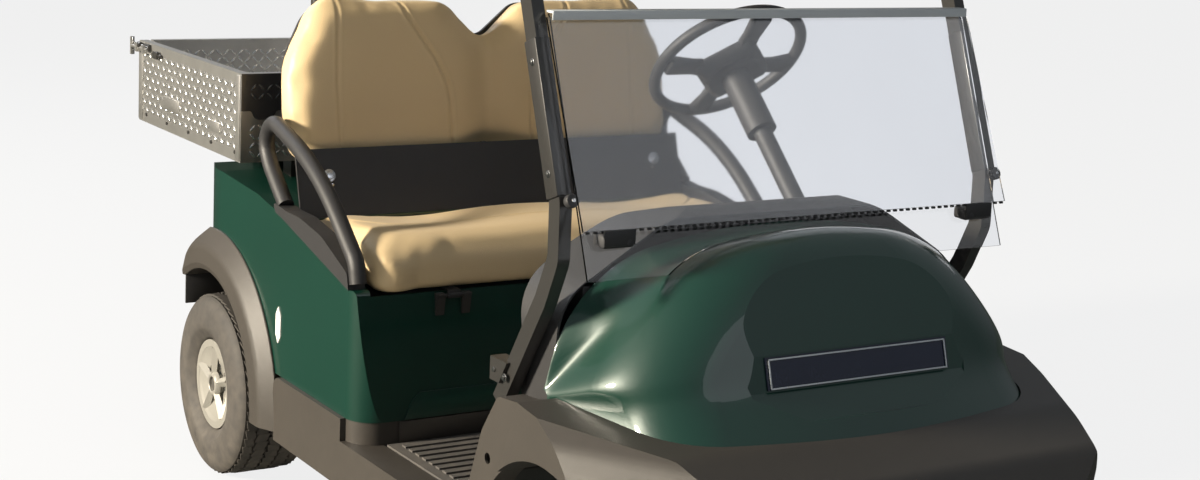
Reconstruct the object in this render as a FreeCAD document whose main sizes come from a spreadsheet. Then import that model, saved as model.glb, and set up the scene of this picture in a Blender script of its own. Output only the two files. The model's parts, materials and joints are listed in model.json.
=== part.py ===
import FreeCAD, Part
import math
import os

# Golf cart with a cargo box, at real size in millimetres.
# +X is the driver's side, the nose points along -Y, +Z is up, the ground is z = 0
# and the origin is under the middle of the cart. Places along the cart are given
# as distances behind the front axle and turned into Y by the function behind().

V = FreeCAD.Vector
AXIS_X = V(1, 0, 0)
AXIS_Y = V(0, 1, 0)
AXIS_Z = V(0, 0, 1)

doc = FreeCAD.newDocument("GolfCart")
parts = []

# Driving dimensions: name, value, note

SIZES = [
    ("frontAxleY", -950, "front axle from the middle of the cart"),
    ("wheelBase", 1664, "front axle to rear axle"),
    ("frontTrack", 876, "between the front tyres' middles"),
    ("rearTrack", 978, "between the rear tyres' middles"),
    ("tyreRadius", 228, "outside radius of a tyre"),
    ("tyreWidth", 210, "tyre's widest section"),
    ("tyreWall", 12, "rubber thickness"),
    ("barrelRadius", 100, "outside of the wheel's barrel"),
    ("barrelWall", 5, "wheel's barrel thickness"),
    ("flangeRadius", 112, "wheel's edge"),
    ("rimWidth", 172, "over the wheel's flanges"),
    ("discThickness", 7, "wheel's disc"),
    ("hubRadius", 34, "wheel's hub"),
    ("stubRadius", 20, "stub axle"),
    ("runningGap", 0.05, "between a turning hub or pin and its shaft"),
    ("seatGap", 0.3, "between pieces that rest on each other"),
    ("coverPocketCount", 5, "openings in the wheel cover"),
    ("capRadius", 27, "wheel cover's centre cap"),
    ("kingpinInset", 63, "kingpin inside the tyre's middle"),
    ("kingpinRadius", 15, "kingpin"),
    ("steeringArmBack", 110, "steering arm's eye behind the kingpin"),
    ("steeringArmIn", 76, "steering arm's eye inside the kingpin"),
    ("railOffset", 165, "frame rail's middle from the centre line"),
    ("railWidth", 50, "frame rail"),
    ("railHeight", 72, "frame rail"),
    ("railWeb", 10, "frame rail's web and flanges"),
    ("railKick", 106, "how far the rails rise behind the seat"),
    ("floorTop", 298, "cabin floor"),
    ("floorThickness", 8, "cabin floor panel"),
    ("floorHalf", 500, "cabin floor from the centre line"),
    ("matThickness", 5, "floor mat"),
    ("matRib", 4, "height of the mat's ribs"),
    ("matRibCount", 14, "ribs in the mat"),
    ("toeBack", 345, "toe board's foot behind the front axle"),
    ("panelWall", 5, "moulded body panels"),
    ("bodyHalf", 565, "green body side from the centre line"),
    ("sillHalf", 576, "sill from the centre line"),
    ("sillBottom", 197, "sill's lower edge"),
    ("podFront", 834, "seat pod's front behind the front axle"),
    ("podBottom", 352, "lower edge of the green body"),
    ("kickBottom", 301, "lower edge of the band under the pod"),
    ("podCorner", 64, "radius of the pod's front corners in plan"),
    ("podRake", 36, "how far the pod's front leans back"),
    ("podFrontTop", 637, "green body's top at its front corner"),
    ("podMidTop", 730, "green body's top beside the seat's back edge"),
    ("deckTop", 772, "green body's rear deck"),
    ("bodyRear", 1885, "green body's rear face behind the front axle"),
    ("bodyRearBottom", 480, "lower edge of the green body at the rear"),
    ("rearArchInner", 292, "radius of the rear wheel opening"),
    ("rearArchOuter", 396, "outer radius of the rear flare"),
    ("flareHalf", 600, "rear flare from the centre line"),
    ("frontArchRadius", 290, "radius of the front wheel opening"),
    ("noseOut", 400, "bumper's nose before the front axle"),
    ("bumperHalf", 594, "bumper's widest place"),
    ("bumperTop", 608, "fender's highest place"),
    ("bumperBottom", 245, "bumper's lower edge"),
    ("bumperWall", 6, "bumper's plastic"),
    ("cowlRear", 146, "cowl's rear edge behind the front axle"),
    ("cowlBase", 597, "height of the cowl's lower rear corners"),
    ("cowlHalf", 512, "cowl's half width at its base"),
    ("cowlWall", 5, "cowl's plastic"),
    ("strutHalf", 511, "front strut's middle from the centre line"),
    ("strutWidth", 26, "front strut across the cart"),
    ("strutDepth", 38, "front strut along the cart"),
    ("strutLean", 0.38, "slope of the front struts above the kink"),
    ("canopyUnder", 1722, "underside of the canopy's edge"),
    ("canopyHeight", 78, "canopy from edge to crown"),
    ("canopyHalf", 565, "canopy's half width"),
    ("canopyFront", 250, "canopy's front edge behind the front axle"),
    ("canopyLength", 1510, "canopy"),
    ("canopyWall", 6, "canopy's plastic"),
    ("paneThickness", 5, "windshield sheet"),
    ("paneHalf", 507, "windshield's half width"),
    ("foldHeight", 1298, "windshield's fold line"),
    ("foldBack", 212, "windshield's fold line behind the front axle"),
    ("seatHalf", 520, "seat cushion's half width"),
    ("seatFront", 852, "cushion's front"),
    ("seatRear", 1232, "cushion's back edge"),
    ("seatBottomZ", 631, "cushion's underside"),
    ("seatTop", 750, "cushion's top"),
    ("panThickness", 14, "board under the cushion"),
    ("backHalf", 526, "seat back's half width"),
    ("backBottom", 840, "seat back's lower edge"),
    ("backTop", 1236, "top of the seat back's lobes"),
    ("backValley", 1146, "dip between the lobes"),
    ("backFront", 1296, "seat back's front at its lower edge"),
    ("backThickness", 88, "seat back cushion"),
    ("backLean", 8, "degrees the seat back leans"),
    ("backShell", 10, "moulded back of the seat back"),
    ("loopTube", 38, "hip restraint's tube diameter"),
    ("loopHalf", 552, "hip restraint's middle from the centre line"),
    ("rearTube", 32, "rear canopy tube's diameter"),
    ("rearTubeHalf", 400, "rear canopy tube from the centre line"),
    ("wheelOffset", 262, "steering wheel from the centre line"),
    ("wheelBack", 704, "steering wheel's centre behind the front axle"),
    ("wheelHeight", 1142, "steering wheel's centre"),
    ("wheelRing", 177, "steering wheel's ring radius"),
    ("wheelGrip", 13, "steering wheel's grip radius"),
    ("columnTilt", 46, "degrees the column leans from upright"),
    ("columnRadius", 21, "steering column's cover"),
    ("boxHalf", 566, "cargo box's half width"),
    ("boxFront", 1528, "cargo box's front behind the front axle"),
    ("boxRear", 2262, "cargo box's rear behind the front axle"),
    ("boxBottom", 812, "cargo box's underside"),
    ("boxTop", 1028, "cargo box's top edge"),
    ("boxPlate", 4, "cargo box's plate"),
    ("boxFlange", 24, "cargo box's folded edges"),
    ("gateGap", 5, "tailgate from the box's sides"),
    ("tieDownX", 800, "tie-down holes across the bed"),
    ("tieDownY", 480, "tie-down holes along the bed"),
    ("tieDownRadius", 6, "tie-down hole"),
    ("batteryLength", 360, "battery pack along the cart"),
    ("batteryWidth", 740, "battery pack across the cart"),
    ("batteryHeight", 280, "battery pack"),
]

sheet = doc.addObject("Spreadsheet::Sheet", "Sizes")
size = {}
for row, (alias, value, note) in enumerate(SIZES, 1):
    sheet.set("A%d" % row, alias)
    sheet.set("B%d" % row, str(value))
    sheet.set("C%d" % row, note)
    sheet.setAlias("B%d" % row, alias)
    size[alias] = float(value)
doc.recompute()


def at(name):
    return size[name]


def behind(distance):
    return at("frontAxleY") + distance


def bind(thing, **links):
    for prop, formula in links.items():
        thing.setExpression(prop.replace("_", "."), formula)
    return thing


# Outlines: corners are (a, b, radius); the plane says which two axes a and b run along

PLANES = {
    "side": lambda a, b, c: V(c, a, b),
    "plan": lambda a, b, c: V(a, b, c),
    "front": lambda a, b, c: V(a, c, b),
}


def roundedEdges(corners, plane, level):
    place = PLANES[plane]
    flat = [V(c[0], c[1], 0) for c in corners]
    radii = [c[2] if len(c) > 2 else 0 for c in corners]
    count = len(flat)
    starts, ends, mids = [], [], []
    for i in range(count):
        before, here, after = flat[i - 1], flat[i], flat[(i + 1) % count]
        toBefore = (before - here).normalize()
        toAfter = (after - here).normalize()
        half = toBefore.getAngle(toAfter) / 2
        if radii[i] <= 0 or half > math.pi / 2 - 0.002:
            starts.append(here)
            ends.append(here)
            mids.append(None)
            continue
        back = radii[i] / math.tan(half)
        bisector = (toBefore + toAfter).normalize()
        centre = here + bisector * (radii[i] / math.sin(half))
        starts.append(here + toBefore * back)
        ends.append(here + toAfter * back)
        mids.append(centre - bisector * radii[i])
    edges = []
    for i in range(count):
        if mids[i] is not None:
            three = [place(p.x, p.y, level) for p in (starts[i], mids[i], ends[i])]
            edges.append(Part.Arc(*three).toShape())
        nextStart = starts[(i + 1) % count]
        if (nextStart - ends[i]).Length > 1e-6:
            ends3 = place(ends[i].x, ends[i].y, level)
            starts3 = place(nextStart.x, nextStart.y, level)
            edges.append(Part.LineSegment(ends3, starts3).toShape())
    return edges


def outline(name, plane, level, corners):
    feature = doc.addObject("Part::Feature", name)
    feature.Shape = Part.Face(Part.Wire(roundedEdges(corners, plane, level)))
    return feature


DIRECTIONS = {"side": AXIS_X, "plan": AXIS_Z, "front": AXIS_Y}


def prism(name, plane, level, corners, formula, symmetric=False):
    solid = doc.addObject("Part::Extrusion", name)
    solid.Base = outline(name + "Outline", plane, level, corners)
    solid.DirMode = "Custom"
    solid.Dir = DIRECTIONS[plane]
    solid.Solid = True
    solid.Symmetric = symmetric
    solid.setExpression("LengthFwd", formula)
    return solid


def turned(name, plane, level, corners, centre, axis, angle=360):
    solid = doc.addObject("Part::Revolution", name)
    solid.Source = outline(name + "Outline", plane, level, corners)
    solid.Axis = axis
    solid.Base = centre
    solid.Angle = angle
    solid.Solid = True
    return solid


def ribbon(points, width):
    # corners of a band of the given width along a line of points (a, b, radius)
    sides = ([], [])
    last = len(points) - 1
    for i, point in enumerate(points):
        here = V(point[0], point[1], 0)
        normals = []
        for j, k in ((i - 1, i), (i, i + 1)):
            if j >= 0 and k <= last:
                run = V(points[k][0] - points[j][0], points[k][1] - points[j][1], 0).normalize()
                normals.append(V(-run.y, run.x, 0))
        mitre = (normals[0] + normals[-1]).normalize()
        reach = width / 2 / mitre.dot(normals[0])
        radius = point[2] if len(point) > 2 else 0
        turn = 0
        if len(normals) == 2:
            turn = normals[0].cross(normals[1]).z
        for side, sign in zip(sides, (1, -1)):
            inner = turn * sign > 0
            bend = 0 if radius == 0 else radius + (-width / 2 if inner else width / 2)
            spot = here + mitre * (reach * sign)
            side.append((spot.x, spot.y, max(bend, 0)))
    return sides[0] + sides[1][::-1]


def box(name, length, width, height, x, y, z):
    # every argument is a formula on the sheet; x, y and z place the lowest corner
    return bind(
        doc.addObject("Part::Box", name),
        Length=length,
        Width=width,
        Height=height,
        Placement_Base_x=x,
        Placement_Base_y=y,
        Placement_Base_z=z,
    )


def rod(name, start, end, radiusFormula):
    # a round bar between two points
    start, end = V(*start), V(*end)
    bar = doc.addObject("Part::Cylinder", name)
    bar.Height = (end - start).Length
    bar.Placement = FreeCAD.Placement(start, FreeCAD.Rotation(AXIS_Z, end - start))
    bar.setExpression("Radius", radiusFormula)
    return bar


def tube(name, plane, level, points, radius):
    # a round bar along straight runs joined by arcs; points are (a, b, bend radius)
    place = PLANES[plane]
    runs = []
    last = None
    for i, point in enumerate(points):
        here = V(*place(point[0], point[1], level))
        if 0 < i < len(points) - 1:
            before = place(points[i - 1][0], points[i - 1][1], level)
            after = place(points[i + 1][0], points[i + 1][1], level)
            toBefore = (before - here).normalize()
            toAfter = (after - here).normalize()
            half = toBefore.getAngle(toAfter) / 2
            back = point[2] / math.tan(half)
            bisector = (toBefore + toAfter).normalize()
            middle = here + bisector * (point[2] / math.sin(half) - point[2])
            runs.append(Part.LineSegment(last, here + toBefore * back).toShape())
            runs.append(Part.Arc(here + toBefore * back, middle, here + toAfter * back).toShape())
            last = here + toAfter * back
        elif i:
            runs.append(Part.LineSegment(last, here).toShape())
        else:
            last = here
    path = Part.Wire(runs)
    start = runs[0].Vertexes[0].Point
    direction = runs[0].tangentAt(runs[0].FirstParameter)
    ring = Part.Wire(Part.makeCircle(radius, start, direction))
    feature = doc.addObject("Part::Feature", name)
    feature.Shape = path.makePipeShell([ring], True, False)
    return feature


def fuse(name, *things):
    joined = doc.addObject("Part::MultiFuse", name)
    joined.Shapes = list(things)
    joined.Refine = True
    return joined


def cut(name, base, *tools):
    tool = tools[0] if len(tools) == 1 else fuse(name + "Tools", *tools)
    rest = doc.addObject("Part::Cut", name)
    rest.Base = base
    rest.Tool = tool
    rest.Refine = True
    return rest


def common(name, first, second):
    shared = doc.addObject("Part::MultiCommon", name)
    shared.Shapes = [first, second]
    shared.Refine = True
    return shared


def mirrored(name, source):
    other = doc.addObject("Part::Mirroring", name)
    other.Source = source
    other.Base = V(0, 0, 0)
    other.Normal = AXIS_X
    return other


def pair(name, source):
    # the piece and its mirror image on the other side of the cart
    both = doc.addObject("Part::Compound", name)
    both.Links = [source, mirrored(name + "Mirror", source)]
    return both


def keep(node, thing):
    thing.Label = node
    parts.append((node, thing))
    return thing


# Wheels: each stands at a place, with its face towards outward (+1 driver's side, -1 passenger's)

def wheelPlace(side, axle):
    track = at("frontTrack") if axle == "front" else at("rearTrack")
    along = 0 if axle == "front" else at("wheelBase")
    return V(side * track / 2, behind(along), at("tyreRadius"))


def makeTyre(node, side, axle):
    centre = wheelPlace(side, axle)
    radius, half, wall = at("tyreRadius"), at("tyreWidth") / 2, at("tyreWall")
    bead = at("barrelRadius") + 0.2
    seat = at("rimWidth") / 2 - 8.5
    outer = [(-seat, bead, 0), (-seat, at("flangeRadius") + 1.5, 0), (-half * 0.99, bead + 38, 22),
             (-half, bead + 82, 60),
             (-half * 0.86, radius - 5, 20), (-half * 0.45, radius, 60)]
    inner = [(-seat + wall, bead, 0), (-half + wall, bead + 38, 20), (-half + wall, bead + 76, 30),
             (-half * 0.8 + wall, radius - wall - 4, 14)]
    ring = outer + [(-x, r, bend) for x, r, bend in outer[::-1]]
    ring += [(-x, r, bend) for x, r, bend in inner] + inner[::-1]
    corners = [(centre.x + x, centre.z + r, bend) for x, r, bend in ring]
    keep(node, turned(node, "front", centre.y, corners, centre, AXIS_X))


def makeRim(node, side, axle):
    centre = wheelPlace(side, axle)
    half, barrel, wall = at("rimWidth") / 2, at("barrelRadius"), at("barrelWall")
    flange, disc = at("flangeRadius"), at("discThickness")

    def spot(x, r, bend=0):
        return (centre.x + side * x, centre.z + r, bend)

    barrelRing = turned(node + "Barrel", "front", centre.y, [
        spot(-half, barrel - wall), spot(-half, flange), spot(-half + 6, flange), spot(-half + 8, barrel),
        spot(half - 8, barrel), spot(half - 6, flange), spot(half, flange), spot(half, barrel - wall)],
        centre, AXIS_X)
    hub, bore = at("hubRadius"), at("stubRadius") + at("runningGap")
    dish = turned(node + "Dish", "front", centre.y, [
        spot(-4, bore), spot(-4, hub), spot(12, hub + 8), spot(18, barrel - wall + 1),
        spot(18 + disc, barrel - wall + 1), spot(12 + disc, hub + 6), spot(44, hub), spot(44, bore)],
        centre, AXIS_X)
    face = turned(node + "Face", "front", centre.y, [
        spot(half - 22, 0), spot(half - 14, 0, 0), spot(half - 14, at("capRadius"), 0),
        spot(half - 20, at("capRadius") + 1, 0), spot(half - 4, barrel - 14), spot(half, barrel - wall + 1),
        spot(half - 8, barrel - wall + 1), spot(half - 12, barrel - 14), spot(half - 28, at("capRadius"))],
        centre, AXIS_X)
    pockets = []
    inner, outer = at("capRadius") + 14, barrel - 18
    for i in range(int(at("coverPocketCount"))):
        pocket = prism("%sPocket%d" % (node, i), "side", centre.x + side * (half - 40) - 25, [
            (centre.y - 8, centre.z + inner, 5), (centre.y - 32, centre.z + outer - 4, 10),
            (centre.y + 32, centre.z + outer - 4, 10), (centre.y + 8, centre.z + inner, 5)], "90")
        turn = FreeCAD.Rotation(AXIS_X, i * 360 / at("coverPocketCount"))
        pocket.Placement = FreeCAD.Placement(V(0, 0, 0), turn, centre)
        pockets.append(pocket)
    cover = cut(node + "Cover", face, *pockets)
    keep(node, fuse(node, barrelRing, dish, cover))


for axle in ("front", "rear"):
    for side, word in ((1, "left"), (-1, "right")):
        makeTyre("tyre_%s_%s" % (axle, word), side, axle)
        makeRim("rim_%s_%s" % (axle, word), side, axle)

# Steering knuckles with stub axles and steering arms, and the kingpins that carry them

kingpinX = at("frontTrack") / 2 - at("kingpinInset")
axleZ = at("tyreRadius")
SLEEVE = 34
PIN = 78


def makeKnuckle(node, side):
    x = side * kingpinX
    y = behind(0)
    sleeve = rod(node + "Sleeve", (x, y, axleZ - SLEEVE), (x, y, axleZ + SLEEVE), "Sizes.kingpinRadius + 12")
    bore = rod(node + "Bore", (x, y, axleZ - SLEEVE - 5), (x, y, axleZ + SLEEVE + 5),
               "Sizes.kingpinRadius + Sizes.runningGap")
    stubStart = x + side * (at("kingpinRadius") + 4)
    stub = rod(node + "Stub", (stubStart, y, axleZ), (side * (at("frontTrack") / 2 + 52), y, axleZ),
               "Sizes.stubRadius")
    collar = rod(node + "Collar", (stubStart, y, axleZ), (side * (at("frontTrack") / 2 - 9), y, axleZ),
                 "Sizes.stubRadius + 12")
    eyeX = x - side * at("steeringArmIn")
    eyeY = y + at("steeringArmBack")
    low = axleZ - SLEEVE
    arm = prism(node + "Arm", "plan", low, ribbon([
        (x, y, 0), (eyeX, y, 24), (eyeX, eyeY, 0)], 24), "12")
    eye = rod(node + "Eye", (eyeX, eyeY, low), (eyeX, eyeY, low + 12), "16")
    keep(node, cut(node, fuse(node + "Body", sleeve, stub, collar, arm, eye), bore))


makeKnuckle("knuckle_left", 1)
makeKnuckle("knuckle_right", -1)

railBottom = at("floorTop") - at("floorThickness") - at("railHeight")

# Front suspension: one fork-shaped lower arm and one upper arm a side, joined by the kingpin

def makeFrontArms():
    x, y = kingpinX, behind(0)
    pieces = [rod("kingpin", (x, y, axleZ - PIN), (x, y, axleZ + PIN), "Sizes.kingpinRadius")]
    inner = at("railOffset") + at("railWidth") / 2
    for word, z in (("Lower", axleZ - PIN), ("Upper", axleZ + PIN - 16)):
        for lean in (-1, 1):
            pieces.append(prism("arm%s%d" % (word, lean + 1), "plan", z, ribbon([
                (x, y, 0), (x - 62, y, 0), (inner, y + lean * 78, 0)], 22), "16"))
        pieces.append(rod("armEye" + word, (x, y, z), (x, y, z + 16), "Sizes.kingpinRadius + 8"))
    for lean in (-1, 1):
        pieces.append(box("armHanger%d" % (lean + 1), "14", "20", "%f" % (railBottom - axleZ + PIN), "%f" % (inner - 13),
                          "%f" % (y + lean * 74 - 10), "%f" % (axleZ - PIN)))
    return fuse("frontArm", *pieces)


keep("front_arms", pair("front_arms", makeFrontArms()))

# Rack with its tie rods, in a fixed housing behind the front axle

rackY = behind(at("steeringArmBack"))
rackZ = axleZ - SLEEVE - 14
eyeHalf = kingpinX - at("steeringArmIn")
bar = rod("rackBar", (-eyeHalf, rackY, rackZ), (eyeHalf, rackY, rackZ), "9")
ends = [rod("rackEnd%d" % (s + 1), (s * eyeHalf, rackY, rackZ - 12), (s * eyeHalf, rackY, rackZ + 13), "12")
        for s in (-1, 1)]
keep("steering_rack", fuse("steering_rack", bar, *ends))

housing = rod("rackTube", (-186, rackY, rackZ), (186, rackY, rackZ), "22")
rackBore = rod("rackBore", (-190, rackY, rackZ), (190, rackY, rackZ), "9.05")
rackFeet = [box("rackFoot%d" % (s + 1), "36", "30", "%f" % (railBottom - at("seatGap") - rackZ), "%f" % (s * 165 - 18),
                "%f" % (rackY - 15), "%f" % rackZ) for s in (-1, 1)]
keep("rack_housing", cut("rack_housing", fuse("rackCase", housing, *rackFeet), rackBore))

# Frame: two rails of I section that rise behind the seat, and the members between them

kickStart = at("podFront") + at("batteryLength") + 80
kickEnd = kickStart + 110


def railCorners(inset):
    low, high = railBottom + inset, railBottom + at("railHeight") - inset
    rise = at("railKick")
    front, rear = -240 + inset, at("bodyRear") + 30 - inset
    return [(behind(u), z) for u, z in (
        (front, low), (kickStart, low), (kickEnd, low + rise), (rear, low + rise),
        (rear, high + rise), (kickEnd - 34, high + rise), (kickStart - 34, high), (front, high))]


def makeRail(side):
    name = "rail%d" % (side + 1)
    half = at("railWidth") / 2
    x = side * at("railOffset")
    blank = prism(name, "side", x - half, railCorners(0), "Sizes.railWidth")
    pockets = []
    for face in (-1, 1):
        level = x - half - 1 if face < 0 else x + at("railWeb") / 2
        pockets.append(prism("%sPocket%d" % (name, face + 1), "side", level, railCorners(at("railWeb")),
                             "(Sizes.railWidth - Sizes.railWeb) / 2 + 1"))
    return cut(name + "Cut", blank, *pockets)


# members between the rails' webs: name, distance behind the front axle, depth along the cart, rise
MEMBERS = [
    ("memberNose", -225, 40, 0),
    ("memberFront", -30, 60, 0),
    ("memberMiddle", 520, 44, 0),
    ("memberPod", 1120, 44, 0),
    ("memberAxle", 1500, 44, 1),
    ("memberRear", 1820, 50, 1),
]
members = []
for name, start, depth, rise in MEMBERS:
    low = railBottom + at("railWeb") + rise * at("railKick") + at("seatGap")
    high = low + at("railHeight") - 2 * at("railWeb") - 2 * at("seatGap")
    members.append(prism(name, "side", 0, [
        (behind(start), low), (behind(start + depth), low), (behind(start + depth), high), (behind(start), high)],
        "2 * Sizes.railOffset - Sizes.railWeb - 2 * Sizes.seatGap", symmetric=True))
hitchLow = railBottom + at("railKick") + at("railWeb") + at("seatGap")
hitchPlate = prism("hitchPlate", "plan", hitchLow, [
    (-60, behind(at("bodyRear") - 40)), (60, behind(at("bodyRear") - 40)),
    (60, behind(at("bodyRear") + 50), 20), (-60, behind(at("bodyRear") + 50), 20)], "8")
hitchHole = rod("hitchHole", (0, behind(at("bodyRear") + 26), 100), (0, behind(at("bodyRear") + 26), 400), "9")

CORNER_VIEW = 32
# the front corner's outline seen along a line this many degrees off the cart's own: (out from the middle, z, radius)
CORNER_OUTLINE = [(596, 360, 40), (566, 410, 20), (540, 453, 5), (548, 484, 30), (548, 516, 60), (522, 564, 80),
                  (476, 604, 60)]


def bumperCorner(name, flip, inset):
    corners = [(-flip * 1400, 660), (-flip * 1400, 150), (flip * (596 - inset), 150)]
    corners += [(flip * (a - inset), z, max(r - inset, 1)) for a, z, r in CORNER_OUTLINE] + [(flip * (400 - inset), 660)]
    block = prism(name, "front", behind(0), corners, "2400", symmetric=True)
    turn = FreeCAD.Rotation(AXIS_Z, -flip * CORNER_VIEW)
    block.Base.Placement = FreeCAD.Placement(V(0, 0, 0), turn, V(0, behind(0), 0))
    block.Dir = turn.multVec(AXIS_Y)
    return block


def bumperHull(name, inset):
    half, nose = at("bumperHalf") - inset, -at("noseOut") + inset
    rear = 285 + inset * 3
    plan = [(-half + 14, behind(rear)), (-half, behind(-30)), (-half, behind(-262), 230 - inset),
            (-330, behind(nose), 190 - inset), (330, behind(nose), 190 - inset),
            (half, behind(-262), 230 - inset), (half, behind(-30)), (half - 14, behind(rear))]
    low = at("bumperBottom") - inset * 2
    side = [(behind(110 + inset * 3), at("bumperTop") - 4 - inset, 0), (behind(-226), at("bumperTop") - 33 - inset, 120),
            (behind(nose + 52), 528 - inset, 50),
            (behind(nose), 430, 50), (behind(nose), 300, 40), (behind(nose + 36), low), (behind(-190), low),
            (behind(-100), 400 - inset * 2), (behind(184 + inset * 3), 442 - inset * 2)]
    hull = common(name + "Blank", prism(name + "Plan", "plan", 200, plan, "450"),
                  prism(name + "Side", "side", 0, side, "2 * Sizes.bumperHalf", symmetric=True))
    for flip in (-1, 1):
        hull = common(name if flip > 0 else name + "Half", hull, bumperCorner(name + "Corner%d" % (flip + 1), flip, inset))
    return hull


hornInside = bumperHull("hornHull", at("bumperWall") + at("seatGap"))
rails = []
for side in (-1, 1):
    horn = box("horn%d" % (side + 1), "40", "%f" % (at("noseOut") - 226), "34", "%f" % (side * at("railOffset") - 20),
               "%f" % behind(-at("noseOut")), "256")
    rails.append(fuse("railWithHorn%d" % (side + 1), makeRail(side),
                      common("hornEnd%d" % (side + 1), horn, hornInside)))
railSet = doc.addObject("Part::Compound", "frame_rails")
railSet.Links = rails
keep("frame_rails", railSet)
memberRear = cut("memberRearHitch", fuse("memberRearPlate", members.pop(), hitchPlate), hitchHole)
memberSet = doc.addObject("Part::Compound", "frame_members")
memberSet.Links = members + [memberRear]
keep("frame_members", memberSet)

# Rear axle: beam, gear case and brake drums; the motor lies across the cart behind it

axleY = behind(at("wheelBase"))
drumEnd = at("rearTrack") / 2 + 4
axlePieces = [rod("axleBeam", (-380, axleY, axleZ), (380, axleY, axleZ), "34")]
for side in (-1, 1):
    axlePieces.append(rod("drum%d" % (side + 1), (side * (drumEnd - 76), axleY, axleZ),
                          (side * (drumEnd - 14), axleY, axleZ), "84"))
    axlePieces.append(rod("axleNeck%d" % (side + 1), (side * 370, axleY, axleZ),
                          (side * (drumEnd - 70), axleY, axleZ), "30"))
    axlePieces.append(rod("axleEnd%d" % (side + 1), (side * (drumEnd - 20), axleY, axleZ),
                          (side * (at("rearTrack") / 2 + 52), axleY, axleZ), "Sizes.stubRadius"))
gearCase = turned("gearCase", "front", axleY, [
    (-120, axleZ), (-120, axleZ + 50), (-88, axleZ + 104, 14), (-26, axleZ + 104, 14), (12, axleZ + 50), (12, axleZ)],
    V(0, axleY, axleZ), AXIS_X)
motorZ = axleZ + 10
inputCase = rod("inputCase", (-84, axleY + 128, motorZ), (12, axleY + 128, motorZ), "72")
keep("rear_axle", fuse("rear_axle", gearCase, inputCase, *axlePieces))
motor = turned("motorBody", "front", axleY + 128, [
    (12, motorZ), (12, motorZ + 60), (20, motorZ + 60), (20, motorZ + 76, 6),
    (210, motorZ + 76, 16), (224, motorZ + 40), (224, motorZ)],
    V(0, axleY + 128, motorZ), AXIS_X)
keep("drive_motor", motor)

# Leaf springs under the rails, with their seats on the axle, and the rear shock absorbers

springX = at("railOffset") + at("railWidth") / 2 + 70
springTop = axleZ + 34


def makeSpring():
    leaves = []
    for i, reach in enumerate((330, 250, 170)):
        z = springTop + 21.4 - 7.8 * i
        rise = 62 * (reach / 330) ** 2
        mid = (axleY, z)
        bow = [(axleY - reach, z + rise), (axleY - reach / 2, z + rise / 4 - 2), mid,
               (axleY + reach / 2, z + rise / 4 - 2), (axleY + reach, z + rise)]
        leaves.append(prism("leaf%d" % i, "side", springX - 25, ribbon(bow, 8), "50"))
    for way in (-1, 1):
        y = axleY + way * 330
        leaves.append(rod("springEye%d" % (way + 1), (springX - 30, y, springTop + 92),
                          (springX + 27, y, springTop + 92), "15"))
        hanger = prism("hanger%d" % (way + 1), "side", springX - 33, [
            (y - 16, springTop + 70), (y + 16, springTop + 70), (y + 22, springTop + 134), (y - 22, springTop + 134)],
            "5")
        arm = prism("hangerArm%d" % (way + 1), "side", at("railOffset") + at("railWidth") / 2, [
            (y - 22, springTop + 112), (y + 22, springTop + 112), (y + 22, springTop + 134),
            (y - 22, springTop + 134)], "%f" % (springX - 33 - at("railOffset") - at("railWidth") / 2 + 5))
        leaves += [hanger, arm]
    clamp = box("springClamp", "60", "76", "10", "%f" % (springX - 30), "%f" % (axleY - 38), "%f" % springTop)
    return fuse("spring", clamp, *leaves)


keep("leaf_springs", pair("leaf_springs", makeSpring()))


def makeShock():
    # a tilted strut between a saddle on the axle beam and an arm that stands on the frame rail
    x = springX + 62
    low = (x, axleY, axleZ + 34 + 14 + at("seatGap"))
    high = (x - 22, axleY + 60, 470)
    railTop = railBottom + at("railKick") + at("railHeight") + at("seatGap")
    lowMiddle = tuple(a + (b - a) * 0.5 for a, b in zip(low, high))
    highMiddle = tuple(a + (b - a) * 0.35 for a, b in zip(low, high))
    tower = prism("shockTower", "front", high[1] - 12, [
        (at("railOffset") - 20, railTop), (at("railOffset") + 24, railTop), (x, 452), (x, 488, 8), (x - 40, 488, 8),
        (at("railOffset") - 20, railTop + 40, 10)], "24")
    return fuse("shock", rod("shockEye", (x - 16, low[1], low[2]), (x + 16, low[1], low[2]), "14"),
                rod("shockBody", low, lowMiddle, "19"), rod("shockCover", highMiddle, high, "25"), tower)


keep("rear_shocks", pair("rear_shocks", makeShock()))

# Battery pack: one plain block that rests on the rails under the seat

keep("battery_pack", box("battery_pack", "Sizes.batteryWidth", "Sizes.batteryLength", "Sizes.batteryHeight",
                         "-Sizes.batteryWidth / 2", "Sizes.frontAxleY + Sizes.podFront + 50",
                         "Sizes.floorTop + Sizes.seatGap"))

# Cabin floor with its toe board, and the ribbed mat on it

floorEnd = kickStart - 36
floorLine = [(behind(214), 556), (behind(262), 420), (behind(at("toeBack")), at("floorTop") - 4, 30),
             (behind(floorEnd), at("floorTop") - 4)]
floorBand = ribbon(floorLine, at("floorThickness"))
keep("floor_pan", prism("floor_pan", "side", 0, floorBand, "2 * Sizes.floorHalf", symmetric=True))

matFront, matRear = at("toeBack") + 20, at("podFront") - 4
matBase = box("matBase", "2 * Sizes.floorHalf - 12", "%f" % (matRear - matFront), "Sizes.matThickness",
              "6 - Sizes.floorHalf", "%f" % behind(matFront), "Sizes.floorTop")
ribs = []
for i in range(int(at("matRibCount"))):
    pitch = (matRear - matFront - 20) / at("matRibCount")
    ribs.append(box("matRib%d" % i, "2 * Sizes.floorHalf - 60", "%f" % (pitch * 0.55), "Sizes.matRib + 1",
                    "30 - Sizes.floorHalf", "%f" % (behind(matFront) + 10 + pitch * i),
                    "Sizes.floorTop + Sizes.matThickness - 1"))
keep("floor_mat", fuse("floor_mat", matBase, *ribs))

# Sills: a skin and a top shelf along each side, from the fender to the rear wheel opening

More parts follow.
